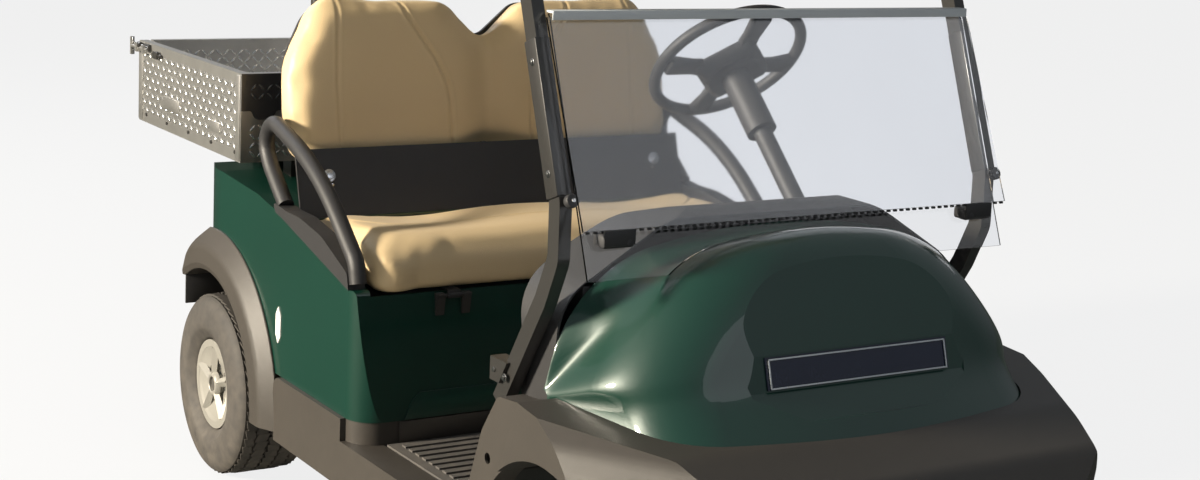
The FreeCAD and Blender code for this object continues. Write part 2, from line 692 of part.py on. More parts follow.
rearArch = (behind(at("wheelBase")), axleZ)
sillFront = 303 + at("seatGap")
bandEnd = at("podFront") + at("podCorner")


def makeSill():
    top, foot = at("podBottom") - at("seatGap"), at("kickBottom") - at("seatGap")
    riser = bandEnd + at("seatGap")
    rear = at("wheelBase") - at("rearArchOuter") + 4
    inner = at("floorHalf") + at("seatGap")
    side = [(behind(sillFront), at("sillBottom")), (behind(rear + 18), at("sillBottom")), (behind(rear), top, 30),
            (behind(riser), top), (behind(riser), foot), (behind(sillFront), foot)]
    blank = prism("sillBlank", "side", inner, side, "Sizes.sillHalf - Sizes.floorHalf - Sizes.seatGap")
    inset = at("panelWall")
    hollow = [(behind(sillFront) + inset, at("sillBottom") - 1), (behind(rear + 18) - inset, at("sillBottom") - 1),
              (behind(rear) - inset, top - inset, 25), (behind(riser) + inset, top - inset),
              (behind(riser) + inset, foot - inset), (behind(sillFront) + inset, foot - inset)]
    core = prism("sillCore", "side", inner + inset, hollow,
                 "Sizes.sillHalf - Sizes.floorHalf - Sizes.seatGap - 2 * Sizes.panelWall")
    archClear = rod("sillArchClear", (400, rearArch[0], rearArch[1]), (700, rearArch[0], rearArch[1]),
                    "Sizes.rearArchOuter + Sizes.seatGap")
    return cut("sill", blank, core, archClear)


keep("sills", pair("sills", makeSill()))

# Seat pod and rear body: one green shell, open below and under the seat

def podCorners(inset):
    front, rear = at("podFront") + inset, at("bodyRear") - inset
    rake = at("podRake")
    low = at("podBottom") - (1 if inset else 0)
    return [(behind(front), low), (behind(front + rake), at("podFrontTop") - inset, 14),
            (behind(1257), at("podMidTop") - inset, 200), (behind(1420), at("podMidTop") + 27 - inset, 200),
            (behind(1650), at("deckTop") - inset, 120), (behind(rear - 30), at("deckTop") - 4 - inset, 80 - inset),
            (behind(rear), at("bodyRearBottom") - (1 if inset else 0)),
            (behind(1400), at("bodyRearBottom") - (1 if inset else 0)), (behind(1400), low)]


def podPlan(inset):
    half = at("bodyHalf") - inset
    front, rear = at("podFront") + inset, at("bodyRear") - inset
    return [(-half, behind(front), at("podCorner") - inset), (half, behind(front), at("podCorner") - inset),
            (half, behind(1700), 300), (half - 70, behind(rear), 110 - inset),
            (70 - half, behind(rear), 110 - inset), (-half, behind(1700), 300)]


def podHull(name, inset):
    across = prism(name + "Side", "side", 0, podCorners(inset), "2 * Sizes.bodyHalf", symmetric=True)
    up = prism(name + "Plan", "plan", 0, podPlan(inset), "Sizes.deckTop + 50")
    return common(name, across, up)


shell = cut("podShell", podHull("podOuter", 0), podHull("podInner", at("panelWall")))
wheelCut = rod("podWheelCut", (-700, rearArch[0], rearArch[1]), (700, rearArch[0], rearArch[1]),
               "Sizes.rearArchOuter - 6")
seatHole = box("seatHole", "2 * Sizes.seatHalf + 12", "Sizes.seatRear - Sizes.seatFront + 37", "400",
               "-6 - Sizes.seatHalf", "Sizes.frontAxleY + Sizes.seatFront - 30", "Sizes.seatBottomZ - 5")
keep("rear_body", cut("rear_body", shell, wheelCut, seatHole))

# Band under the pod that shoes kick

def bandPlan(inset):
    half, front, bend = at("bodyHalf") - 2 - inset, behind(at("podFront")) + 2 + inset, at("podCorner") - 2 - inset
    return [(-half, behind(bandEnd)), (-half, front, bend), (half, front, bend), (half, behind(bandEnd))]


kickBand = prism("kickBand", "plan", at("kickBottom"), bandPlan(0) + bandPlan(10)[::-1],
                 "Sizes.podBottom - Sizes.kickBottom - Sizes.seatGap")
keep("kick_band", kickBand)

# Rear wheel-arch flares with their liners, turned about the rear axle

def flareRing(name, side, corners, start, angle):
    centre = V(0, rearArch[0], rearArch[1])
    spots = [(side * x, rearArch[1] + r, bend) for x, r, bend in [(c + (0,))[:3] for c in corners]]
    ring = turned(name, "front", rearArch[0], spots, centre, AXIS_X, angle)
    ring.Source.Placement = FreeCAD.Placement(V(0, 0, 0), FreeCAD.Rotation(AXIS_X, start), centre)
    return ring


# rear end of a flare seen from the side: (behind the axle, above it, bend radius)
FLARE_TAIL = [(20, 412, 0), (101, 352, 60), (142, 304, 60), (164, 249, 0)]


def flareTail(name, inset):
    # side view of what stays of the ring: its rear end narrows to the wheel opening
    axle = behind(at("wheelBase"))
    reach = at("rearArchOuter") + 64
    corners = [(axle - reach, 60), (axle - reach, 700), (axle, 700)]
    corners += [(axle + u - inset, axleZ + rise - inset, bend) for u, rise, bend in FLARE_TAIL[:-1]]
    u, rise, bend = FLARE_TAIL[-1]
    corners += [(axle + u - inset, axleZ + rise + inset), (axle + 60, axleZ + rise + inset), (axle + 60, 60)]
    return prism(name, "side", 0, corners, "2 * Sizes.flareHalf + 80", symmetric=True)


def makeFlare(side):
    name = "flare%d" % (side + 1)
    inner, outer, half = at("rearArchInner"), at("rearArchOuter"), at("flareHalf")
    skin, wall = at("bodyHalf") + at("seatGap"), at("panelWall")
    root = half - 216
    solid = flareRing(name + "Solid", side, [
        (root, inner), (half - 6, inner, 3), (half, inner + 14, 6), (half - 3, inner + 58, 40), (skin + 4, outer, 3),
        (skin, outer - 1), (skin, inner + wall), (root, inner + wall)], -38, 130)
    hollow = flareRing(name + "Hollow", side, [
        (skin - 2, inner + wall), (half - 10, inner + wall), (half - 8, inner + 16, 3), (half - 13, inner + 56, 30),
        (skin, outer - 9), (skin - 2, outer - 9)], -37, 128)
    return cut(name, common(name + "Shape", solid, flareTail(name + "Tail", 0)),
               common(name + "Space", hollow, flareTail(name + "TailSpace", wall)))


flareSet = doc.addObject("Part::Compound", "rear_flares")
flareSet.Links = [makeFlare(side) for side in (-1, 1)]
keep("rear_flares", flareSet)

# Rear bumper across the tail

tail = at("bodyRear")
bumperPlan = [(-470, behind(tail + 14), 40), (-440, behind(tail + 42), 30), (440, behind(tail + 42), 30),
              (470, behind(tail + 14), 40), (470, behind(tail - 30)), (-470, behind(tail - 30))]
tailBumper = prism("tailBumper", "plan", 392, bumperPlan, "86")
slotHalf = 15 + at("seatGap")
tailSlots = [prism("tailSlot%d" % (s + 1), "plan", 460, [
    (s * at("railOffset") - slotHalf, behind(tail - 8)), (s * at("railOffset") + slotHalf, behind(tail - 8)),
    (s * at("railOffset") + slotHalf, behind(tail + 35)), (s * at("railOffset") - slotHalf, behind(tail + 35))], "30")
    for s in (-1, 1)]
tailHollow = prism("tailHollow", "plan", 380, [
    (-455, behind(tail + 10), 30), (-430, behind(tail + 34), 25), (430, behind(tail + 34), 25),
    (455, behind(tail + 10), 30), (455, behind(tail - 60)), (-455, behind(tail - 60))], "92")
keep("rear_bumper", cut("rear_bumper", tailBumper, tailHollow, *tailSlots))

# Front cowl: a domed shell lofted through fan-like sections that share one hinge line
# across the cart, at the cowl's lower rear corners. The centre panel is pressed in.

COWL_HUB = 14
# angle above the forward direction, reach on the centre line, crown radius, shoulder radius, side's lean
COWL_FAN = [
    (-4, 377, 1550, 165, 16),
    (17, 312, 1800, 210, 15),
    (40, 327, 2100, 300, 24),
    (60, 352, 1750, 390, 31),
    (75, 312, 1050, 365, 27),
    (90, 300, 1400, 275, 14),
]


def cowlSection(name, angle, reach, crown, shoulder, lean, inset, hub):
    half = at("cowlHalf") - inset
    reach, crown, shoulder = reach - inset, crown - inset, shoulder - inset
    a, tilt = math.radians(angle), math.radians(lean)
    side = V(-math.sin(tilt), math.cos(tilt), 0)
    inward = V(-math.cos(tilt), -math.sin(tilt), 0)
    foot = V(half + (COWL_HUB - hub) * math.tan(tilt), hub, 0)
    crownCentre = V(0, reach - crown, 0)
    q = foot + inward * shoulder - crownCentre
    b = q.dot(side)
    run = -b + math.sqrt(b * b - q.dot(q) + (crown - shoulder) ** 2)
    centre = foot + side * run + inward * shoulder
    sideEnd = centre - inward * shoulder
    out = (centre - crownCentre).normalize()
    crownEnd = crownCentre + out * crown
    middle = centre + (out - inward).normalize() * shoulder

    def place(p, flip=1):
        return V(flip * p.x, behind(at("cowlRear")) - p.y * math.cos(a), at("cowlBase") + p.y * math.sin(a))

    top = crownCentre + V(0, crown, 0)
    edges = [
        Part.LineSegment(place(foot, -1), place(foot)).toShape(),
        Part.LineSegment(place(foot), place(sideEnd)).toShape(),
        Part.Arc(place(sideEnd), place(middle), place(crownEnd)).toShape(),
        Part.Arc(place(crownEnd), place(top), place(crownEnd, -1)).toShape(),
        Part.Arc(place(crownEnd, -1), place(middle, -1), place(sideEnd, -1)).toShape(),
        Part.LineSegment(place(sideEnd, -1), place(foot, -1)).toShape(),
    ]
    feature = doc.addObject("Part::Feature", name)
    feature.Shape = Part.Wire(edges)
    return feature


def cowlDome(name, inset, hub, spread):
    sections = []
    for i, (angle, reach, crown, shoulder, lean) in enumerate(COWL_FAN):
        if i == 0:
            angle -= spread
        if i == len(COWL_FAN) - 1:
            angle += spread
        sections.append(cowlSection("%sSection%d" % (name, i), angle, reach, crown, shoulder, lean, inset, hub))
    dome = doc.addObject("Part::Loft", name)
    dome.Sections = sections
    dome.Solid = True
    return dome


def centrePanel(name, inset):
    # the space in front of the pressed-in panel: its side view and its front view
    line = [(-420, 604 - inset), (-196, 604 - inset), (-146 + inset, 650 - inset), (-127 + inset, 714),
            (-54 + inset, 900), (-420, 900)]
    across = prism(name + "Side", "side", 0, [(behind(u), z) for u, z in line], "900", symmetric=True)
    low, high = 236 + inset, 330 + inset
    front = prism(name + "Front", "front", behind(-430), [
        (-low, 590), (low, 590), (high, 910), (-high, 910)], "480")
    return common(name, across, front)


cowlOuter = cut("cowlOuter", cowlDome("cowlDome", 0, COWL_HUB, 0), centrePanel("cowlPanel", 0))
cowlInner = cut("cowlInner", cowlDome("cowlHollow", at("cowlWall"), 3, 5), centrePanel("cowlPanelBack", at("cowlWall")))
keep("front_cowl", cut("front_cowl", cowlOuter, cowlInner))

# Bare name plate on the cowl's centre panel

panelLow, panelHigh = (-146, 650), (-127, 714)
plateLean = math.degrees(math.atan2(panelHigh[0] - panelLow[0], panelHigh[1] - panelLow[1]))
plateTurn = FreeCAD.Rotation(AXIS_X, -plateLean)
plateMiddle = V(0, behind((panelLow[0] + panelHigh[0]) / 2), (panelLow[1] + panelHigh[1]) / 2)
plate = doc.addObject("Part::Box", "namePlate")
plate.Length, plate.Width, plate.Height = 430, 3, 60
plate.Placement = FreeCAD.Placement(plateMiddle + plateTurn.multVec(V(-215, -3.3, -30)), plateTurn)
keep("name_plate", plate)

# Front bumper and fender wrap: a plan view and a side view crossed, hollow, with wheel openings

def archRod(name, radius, side, start, end):
    return rod(name, (side * start, behind(0), axleZ - 4), (side * end, behind(0), axleZ - 4), "%f" % radius)


bumperShell = cut("bumperShell", bumperHull("bumperOuter", 0), bumperHull("bumperInner", at("bumperWall")))
cowlSeat = cowlSection("cowlSeat", *COWL_FAN[0], -at("seatGap"), -40)
cowlSeatFace = doc.addObject("Part::Feature", "cowlSeatFace")
cowlSeatFace.Shape = Part.Face(cowlSeat.Shape)
cowlOpening = doc.addObject("Part::Extrusion", "cowlOpening")
cowlOpening.Base = cowlSeatFace
cowlOpening.DirMode = "Custom"
cowlOpening.Dir = AXIS_Z
cowlOpening.LengthFwd = 70
cowlOpening.LengthRev = 45
cowlOpening.Solid = True
archCuts = [archRod("arch%d" % (s + 1), at("frontArchRadius"), s, 206, at("bumperHalf") + 100) for s in (-1, 1)]
lipOuter = [archRod("archLip%d" % (s + 1), at("frontArchRadius") + 5, s, at("bumperHalf") - 124, at("bumperHalf"))
            for s in (-1, 1)]
lipKeep = common("archLips", fuse("archLipRods", *lipOuter), bumperHull("bumperLipHull", 0))
cowlClear = cowlDome("cowlClear", -0.6, COWL_HUB, 0)
keep("front_bumper", cut("front_bumper", fuse("bumperWithLips", bumperShell, lipKeep), cowlOpening, cowlClear, *archCuts))

# Fender side pieces behind the front wheels, hollow, each with an oval hole

def makeFenderSide():
    outer = [(behind(112.7), 599, 0), (behind(205), 590, 26), (behind(262), 508, 60), (behind(303), 400, 60),
             (behind(303), at("sillBottom"), 0), (behind(60), at("sillBottom")), (behind(120), 420), (behind(184.4), 442)]
    x = at("sillHalf") - 50
    blank = prism("fenderBlank", "side", x, outer, "50")
    arch = archRod("fenderArch", at("frontArchRadius"), 1, 400, 700)
    hollow = prism("fenderHollow", "side", x - 1, [
        (behind(126), 592), (behind(198), 583, 20), (behind(255), 504, 60), (behind(297), 398, 60),
        (behind(297), 190), (behind(60), 190), (behind(120), 420), (behind(196), 438)], "46")
    hole = rod("fenderHole", (400, behind(235), 460), (700, behind(235), 460), "11")
    ribArch = archRod("fenderArchRib", at("frontArchRadius") + 5, 1, 520, 700)
    rib = common("fenderRib", ribArch, blank)
    return cut("fenderSide", fuse("fenderBody", cut("fenderShell", blank, hollow), rib), arch, hole)


keep("fender_sides", pair("fender_sides", makeFenderSide()))

# Dash: a shell behind the cowl with an open tray on each side of the column

DASH_HALF = 492


def dashHull(name, inset):
    front = at("cowlRear") + at("seatGap") - (3 if inset else 0)
    side = [(behind(front), 560 - (3 if inset else 0)), (behind(front), 918 - inset, 0), (behind(190), 934 - inset, 90),
            (behind(300) - inset, 900 - inset, 50), (behind(316) - inset, 840, 20), (behind(276) - inset, 700, 40),
            (behind(262) - inset, 560 - (3 if inset else 0))]
    half = DASH_HALF - inset
    arch = [(-half, 540), (-half + 4, 775, 120 - inset), (-230, 932 - inset, 300), (230, 932 - inset, 300),
            (half - 4, 775, 120 - inset), (half, 540)]
    return common(name, prism(name + "Side", "side", 0, side, "2 * 492", symmetric=True),
                  prism(name + "Front", "front", behind(60), arch, "400"))


dashShell = cut("dashShell", dashHull("dashOuter", 0), dashHull("dashInner", at("panelWall")))
trays = []
trayCuts = []
for word, low, high in (("Right", -430, -60), ("Left", 330, 440)):
    trays.append(prism("dashTray" + word, "side", low - 4, [
        (behind(150), 700), (behind(276), 690), (behind(296), 800), (behind(150), 800)], "%d" % (high - low + 8)))
    trayCuts.append(prism("dashTrayCut" + word, "side", low, [
        (behind(154), 704), (behind(400), 694), (behind(400), 796), (behind(154), 796)], "%d" % (high - low)))
columnLine = V(0, math.sin(math.radians(at("columnTilt"))), math.cos(math.radians(at("columnTilt"))))
wheelCentre = V(at("wheelOffset"), behind(at("wheelBack")), at("wheelHeight"))
columnFoot = wheelCentre - columnLine * 590
columnPass = rod("columnPass", tuple(wheelCentre - columnLine * 640), tuple(wheelCentre - columnLine * 100),
                 "Sizes.columnRadius + Sizes.seatGap")
dashBody = fuse("dashBody", dashShell, common("dashTrays", fuse("dashTrayBlocks", *trays), dashHull("dashTrayHull", 0.5)))
keep("dash_panel", cut("dash_panel", dashBody, columnPass, *trayCuts))

# Steering column and wheel, both on the line of the column

columnTop = wheelCentre - columnLine * 46
columnTube = rod("columnTube", tuple(columnFoot), tuple(columnTop), "Sizes.columnRadius")
columnCover = rod("columnCover", tuple(wheelCentre - columnLine * 200), tuple(columnTop - columnLine * 1), "34")
columnBore = rod("columnBore", tuple(columnTop - columnLine * 40), tuple(columnTop + columnLine * 10), "10.05")
keep("steering_column", cut("steering_column", fuse("columnBody", columnTube, columnCover), columnBore))

ring = doc.addObject("Part::Torus", "wheelRim")
ring.setExpression("Radius1", "Sizes.wheelRing")
ring.setExpression("Radius2", "Sizes.wheelGrip")
wheelTurn = FreeCAD.Rotation(AXIS_Z, columnLine)
ring.Placement = FreeCAD.Placement(wheelCentre, wheelTurn)
wheelPieces = [ring]
hubPad = doc.addObject("Part::Cylinder", "wheelHub")
hubPad.Radius = 62
hubPad.Height = 34
hubPad.Placement = FreeCAD.Placement(wheelCentre - columnLine * 44, wheelTurn)
wheelPieces.append(hubPad)
shaft = rod("wheelShaft", tuple(columnTop - columnLine * 30), tuple(wheelCentre - columnLine * 40), "10")
wheelPieces.append(shaft)
for i in range(4):
    spoke = doc.addObject("Part::Box", "wheelSpoke%d" % i)
    spoke.Length = at("wheelRing") - 30
    spoke.Width = 40
    spoke.Height = 12
    spin = FreeCAD.Rotation(AXIS_Z, 90 * i)
    lean = FreeCAD.Rotation(AXIS_Y, -10)
    local = FreeCAD.Placement(V(0, 0, 0), spin).multiply(FreeCAD.Placement(V(32, -20, -32), lean))
    spoke.Placement = FreeCAD.Placement(wheelCentre, wheelTurn).multiply(local)
    wheelPieces.append(spoke)
keep("steering_wheel", fuse("steering_wheel", *wheelPieces))

# Pedals hung on the floor under the dash

pedalPieces = []
for i, (x, width, height) in enumerate(((170, 70, 80), (290, 60, 110))):
    arm = prism("pedalArm%d" % i, "side", x - 6, ribbon([
        (behind(388), 311, 0), (behind(426), 372, 30), (behind(421), 444, 0)], 12), "12")
    pad = prism("pedalPad%d" % i, "side", x - width / 2, ribbon([
        (behind(430), 420, 0), (behind(396), 420 + height, 0)], 10), "%d" % width)
    foot = box("pedalFoot%d" % i, "40", "40", "8", "%d" % (x - 20), "%f" % behind(374),
               "Sizes.floorTop + Sizes.matThickness + Sizes.matRib + Sizes.seatGap")
    pedalPieces.append(fuse("pedal%d" % i, arm, pad, foot))
pedalSet = doc.addObject("Part::Compound", "pedals")
pedalSet.Links = pedalPieces
keep("pedals", pedalSet)

# Canopy: a crowned tray, open below, with a turned-down edge

def canopyHull(name, inset):
    front, rear = at("canopyFront") + inset, at("canopyFront") + at("canopyLength") - inset
    low = at("canopyUnder") - (2 if inset else 0)
    top = at("canopyUnder") + at("canopyHeight") - inset
    half = at("canopyHalf") - inset
    side = [(behind(front), low), (behind(front), top - 30, 25), (behind(front + 200), top, 300),
            (behind(rear - 200), top, 300), (behind(rear), top - 30, 25), (behind(rear), low)]
    frontView = [(-half, low), (-half, top - 26, 24), (-half + 160, top, 400), (half - 160, top, 400),
                 (half, top - 26, 24), (half, low)]
    plan = [(-half, behind(front), 90 - inset), (half, behind(front), 90 - inset),
            (half, behind(rear), 90 - inset), (-half, behind(rear), 90 - inset)]
    return common(name, prism(name + "Side", "side", 0, side, "2 * Sizes.canopyHalf", symmetric=True), common(
        name + "Across", prism(name + "Front", "front", behind(front), frontView, "%f" % (rear - front)),
        prism(name + "Plan", "plan", low, plan, "%f" % (top - low))))


keep("canopy", cut("canopy", canopyHull("canopyOuter", 0), canopyHull("canopyInner", at("canopyWall"))))


def canopySeat(name, x, u, width, depth):
    # a block on top of a strut, shaped to the canopy's inside
    block = box(name + "Block", "%f" % width, "%f" % depth, "60", "%f" % (x - width / 2), "%f" % (behind(u) - depth / 2),
                "Sizes.canopyUnder + 8")
    return common(name, block, canopyHull(name + "Hull", at("canopyWall") + at("seatGap")))


# Front struts: flat bars with a kink, and the bracket at their foot

strutTopZ = at("canopyUnder") + 24


def strutLine(shift=0):
    top = strutTopZ
    return [(behind(300) + shift, 548, 0), (behind(154) + shift, 780, 30), (behind(115) + shift, 865, 40),
            (behind(117) + shift, 970, 60), (behind(117 + at("strutLean") * (top - 970)) + shift, top, 0)]


def makeFrontStrut():
    x = at("strutHalf") - at("strutWidth") / 2
    bar = prism("strutBar", "side", x, ribbon(strutLine(), at("strutDepth")), "Sizes.strutWidth")
    bracket = prism("strutBracket", "side", x, [
        (behind(282), 590), (behind(318), 590), (behind(318), 636), (behind(254), 636)], "34")
    foot = prism("strutFoot", "side", x - 6.5, [
        (behind(246), 592), (behind(276), 592), (behind(276), 620), (behind(246), 620)], "8")
    headBack = 117 + at("strutLean") * (at("canopyUnder") + 16 - 970)
    head = canopySeat("strutHead", at("strutHalf"), headBack, at("strutWidth") + 12, 70)
    return fuse("frontStrut", bar, bracket, foot, head)


keep("front_struts", pair("front_struts", makeFrontStrut()))

# Windshield: a lower pane, and an upper pane folded down in front of it

paneLean = (at("foldBack") - 42) / (at("foldHeight") - 929)


def makePane(name, top, bottom, half, trims):
    slab = prism(name + "Slab", "side", 0, ribbon([
        (behind(top[0]), top[1], 0), (behind(bottom[0]), bottom[1], 0)], at("paneThickness")),
        "2 * %f" % half, symmetric=True)
    if not trims:
        return slab
    return cut(name, slab, *trims)


lowerTop = (at("foldBack") - 1, at("foldHeight") + 6)
lowerBottom = (at("foldBack") - 1 - at("strutLean") * (at("foldHeight") + 6 - 838), 838)
cowlTrim = cowlDome("paneTrim", -at("seatGap"), COWL_HUB, 0)
keep("windshield_lower", makePane("windshield_lower", lowerTop, lowerBottom,
                                  (at("strutHalf") - at("strutWidth") / 2 - at("seatGap")), [cowlTrim]))
upperTop = (at("foldBack") - 10, at("foldHeight"))
upperBottom = (42, 929)
keep("windshield_upper", makePane("windshield_upper", upperTop, upperBottom, at("paneHalf"), []))


def paneLineAt(top, bottom, z):
    return top[0] + (bottom[0] - top[0]) * (top[1] - z) / (top[1] - bottom[1])


foldY, foldZ = behind(at("foldBack")), at("foldHeight")
hingeStrip = prism("paneHinge", "side", 0, [
    (foldY - 18, foldZ + 1.6), (foldY - 7.5, foldZ + 1.6), (foldY - 7.5, foldZ + 7.4), (foldY + 6, foldZ + 7.4),
    (foldY + 6, foldZ + 12, 2), (foldY - 18, foldZ + 12, 2)], "2 * (Sizes.paneHalf - 7)", symmetric=True)
paneClips = [hingeStrip]
for side in (-1, 1):
    gapBand = []
    for z in (934, 956):
        halfUpper = at("paneThickness") / 2 * math.sqrt(1 + paneLean ** 2) + at("seatGap")
        halfLower = at("paneThickness") / 2 * math.sqrt(1 + at("strutLean") ** 2) + at("seatGap")
        ends = (paneLineAt(upperTop, upperBottom, z) + halfUpper, paneLineAt(lowerTop, lowerBottom, z) - halfLower)
        gapBand.append([(behind(u), z) for u in (ends if z < 940 else ends[::-1])])
    paneClips.append(prism("paneClip%d" % (side + 1), "side", side * 455 - 16, gapBand[0] + gapBand[1], "32"))
clipSet = doc.addObject("Part::Compound", "windshield_clips")
clipSet.Links = paneClips
keep("windshield_clips", clipSet)

def leaned(thing, forward):
    # an upright piece drawn on the plane y = 0, z = 0, set on the seat back's foot and leaned back
    turn = FreeCAD.Rotation(AXIS_X, -at("backLean"))
    foot = V(0, behind(at("backFront")), at("backBottom"))
    thing.Placement = FreeCAD.Placement(foot + turn.multVec(V(0, forward, 0)), turn)
    return thing


# Rear canopy tubes behind the seat back

rearTubeLine = [(behind(1452), at("deckTop") - 12, 0), (behind(1470), 1230, 160),
                (behind(1580), at("canopyUnder") + 26, 0)]
rearTubeFoot = box("rearTubeFoot", "70", "60", "28", "Sizes.rearTubeHalf - 35", "%f" % behind(1422),
                   "Sizes.deckTop - 30")
rearTubeStand = cut("rearTubeStand", fuse("rearTubeWithFoot", rearTubeFoot, tube(
    "rearTubeBar", "side", at("rearTubeHalf"), rearTubeLine, at("rearTube") / 2)), podHull("rearTubeDeck", -at("seatGap")))
backBracket = leaned(prism("backBracket", "front", 0, [
    (at("rearTubeHalf") - 15, 195), (at("rearTubeHalf") + 15, 195), (at("rearTubeHalf") + 15, 235),
    (at("rearTubeHalf") - 15, 235)], "45"), at("backThickness") + at("backShell") + 2 * at("seatGap"))
rearTubePiece = fuse("rearTubePiece", rearTubeStand, backBracket,
                     canopySeat("rearTubeHead", at("rearTubeHalf"), 1580, 50, 60))
keep("rear_struts", pair("rear_struts", rearTubePiece))

# Seat: board, cushion, black panel behind it, seat back with its moulded shell, hip restraints

panLow = at("seatBottomZ") - at("panThickness") - at("seatGap")
panBoard = prism("seatBoard", "plan", panLow, [
    (-at("seatHalf") + 40, behind(at("seatFront") + 44), 30), (at("seatHalf") - 40, behind(at("seatFront") + 44), 30),
    (at("seatHalf") - 40, behind(at("seatRear") - 20), 30), (-at("seatHalf") + 40, behind(at("seatRear") - 20), 30)],
    "Sizes.panThickness")
HINGE_X = 330


def podFrontAt(z):
    # the pod's front face at a height, less the gap that a bracket keeps from it
    lean = at("podRake") / (at("podFrontTop") - at("podBottom"))
    return behind(at("podFront")) + lean * (z - at("podBottom")) - at("seatGap")


straps = []
leaves = []
for i, x in enumerate((-HINGE_X, HINGE_X)):
    y, z = behind(at("podFront") + 23), at("seatBottomZ") - 13
    top, back = at("seatBottomZ") - at("seatGap"), behind(at("seatFront") + 50)
    strap = prism("seatStrap%d" % i, "side", x - 15, [
        (y - 4, z), (y - 4, top, 3), (back, top), (back, top - 3), (y + 4, top - 3), (y + 4, z)], "30")
    barrel = rod("seatBarrel%d" % i, (x - 15, y, z), (x + 15, y, z), "7")
    straps.append(cut("seatHinge%d" % i, fuse("seatHingeBody%d" % i, strap, barrel),
                      rod("seatHingeBore%d" % i, (x - 20, y, z), (x + 20, y, z), "4.05")))
    pin = rod("seatPin%d" % i, (x - 44, y, z), (x + 44, y, z), "4")
    cheeks = [prism("seatCheek%d%d" % (i, k), "side", x + shift, [
        (y - 5, z - 5), (y - 5, z + 5, 3), (podFrontAt(z + 5), z + 5), (podFrontAt(z - 44), z - 44),
        (y, z - 44)], "20")
        for k, shift in enumerate((-42, 22))]
    leaves.append(fuse("seatLeaf%d" % i, pin, *cheeks))
keep("seat_pan", fuse("seat_pan", panBoard, *straps))
hingeSet = doc.addObject("Part::Compound", "seat_hinges")
hingeSet.Links = leaves
keep("seat_hinges", hingeSet)

cushionSide = [(behind(at("seatFront")), at("seatBottomZ"), 14), (behind(at("seatFront") + 6), at("seatTop") - 30, 34),
               (behind(at("seatFront") + 90), at("seatTop"), 120), (behind(at("seatRear")), at("seatTop") - 2, 20),
               (behind(at("seatRear")), at("seatBottomZ"), 10)]
cushionPlan = [(-at("seatHalf"), behind(at("seatFront") - 4), 70), (at("seatHalf"), behind(at("seatFront") - 4), 70),
               (at("seatHalf"), behind(at("seatRear") + 4), 30), (-at("seatHalf"), behind(at("seatRear") + 4), 30)]
keep("seat_bottom", common("seat_bottom",
                           prism("cushionSide", "side", 0, cushionSide, "2 * Sizes.seatHalf", symmetric=True),
                           prism("cushionPlan", "plan", 600, cushionPlan, "200")))

panelLine = [(behind(1244), 722, 0), (behind(1290), 880, 0)]
supportPanel = cut("support_panel", prism("supportSheet", "side", 0, ribbon(panelLine, 6), "2 * 528", symmetric=True),
                   podHull("supportDeck", -at("seatGap")))
keep("support_panel", supportPanel)


def backOutline(inset):
    half, low, top, dip = at("backHalf") - inset, inset, at("backTop") - at("backBottom") - inset, \
        at("backValley") - at("backBottom") - inset
    right = [(0, dip, 46), (112, top, 62), (440, top, 90), (half - 4, 250, 160), (half, 120, 90),
             (half - 22, low, 80), (96, low, 40), (0, 30 + low, 40)]
    left = [(-x, z, r) for x, z, r in right[1:-1]][::-1]
    return right + left


backCushion = prism("seatBackCushion", "front", 0, backOutline(0), "Sizes.backThickness")
keep("seat_back", leaned(backCushion, 0))
backPlate = prism("seatBackPlate", "front", 0, backOutline(14), "Sizes.backShell")
keep("seat_back_shell", leaned(backPlate, at("backThickness") + at("seatGap")))


def makeLoop():
    x = at("loopHalf")
    frontSlope = (at("podMidTop") - at("podFrontTop")) / (1257 - 870)
    rearSlope = 27 / (1420 - 1257)
    base = []
    for u, rise, bend in ((884, at("seatGap"), 0), (1257, at("seatGap"), 0), (1292, at("seatGap"), 0),
                          (1306, 20, 6), (1228, 27, 60), (1150, 45, 90), (1030, 55, 200), (892, 34, 20)):
        level = at("podMidTop") + (u - 1257) * (frontSlope if u < 1257 else rearSlope) + rise
        base.append((behind(u), level, bend))
    rail = prism("loopRail", "side", x - 20, base, "40")
    bar = tube("loopBar", "side", x, [
        (behind(876), 655, 0), (behind(888), 700, 60), (behind(1100), 868, 700), (behind(1440), 962, 52),
        (behind(1384), 842, 150), (behind(1276), at("podMidTop") + 24, 0)], at("loopTube") / 2)
    return fuse("hipLoop", rail, bar)


keep("hip_restraints", pair("hip_restraints", makeLoop()))

# Cargo box: floor, sides and front wall folded from plate, with flanges

tubOuter = box("tubOuter", "2 * Sizes.boxHalf", "Sizes.boxRear - Sizes.boxFront", "Sizes.boxTop - Sizes.boxBottom",
               "-Sizes.boxHalf", "Sizes.frontAxleY + Sizes.boxFront", "Sizes.boxBottom")
tubInner = box("tubInner", "2 * Sizes.boxHalf - 2 * Sizes.boxPlate", "Sizes.boxRear - Sizes.boxFront + 20",
               "Sizes.boxTop - Sizes.boxBottom + 20", "Sizes.boxPlate - Sizes.boxHalf",
               "Sizes.frontAxleY + Sizes.boxFront + Sizes.boxPlate", "Sizes.boxBottom + Sizes.boxPlate")
flangeLeft = box("flangeLeft", "Sizes.boxFlange", "Sizes.boxRear - Sizes.boxFront", "Sizes.boxPlate",
                 "Sizes.boxHalf - Sizes.boxFlange", "Sizes.frontAxleY + Sizes.boxFront",
                 "Sizes.boxTop - Sizes.boxPlate")
flangeRight = mirrored("flangeRight", flangeLeft)
flangeFront = box("flangeFront", "2 * Sizes.boxHalf", "Sizes.boxFlange", "Sizes.boxPlate",
                  "-Sizes.boxHalf", "Sizes.frontAxleY + Sizes.boxFront", "Sizes.boxTop - Sizes.boxPlate")
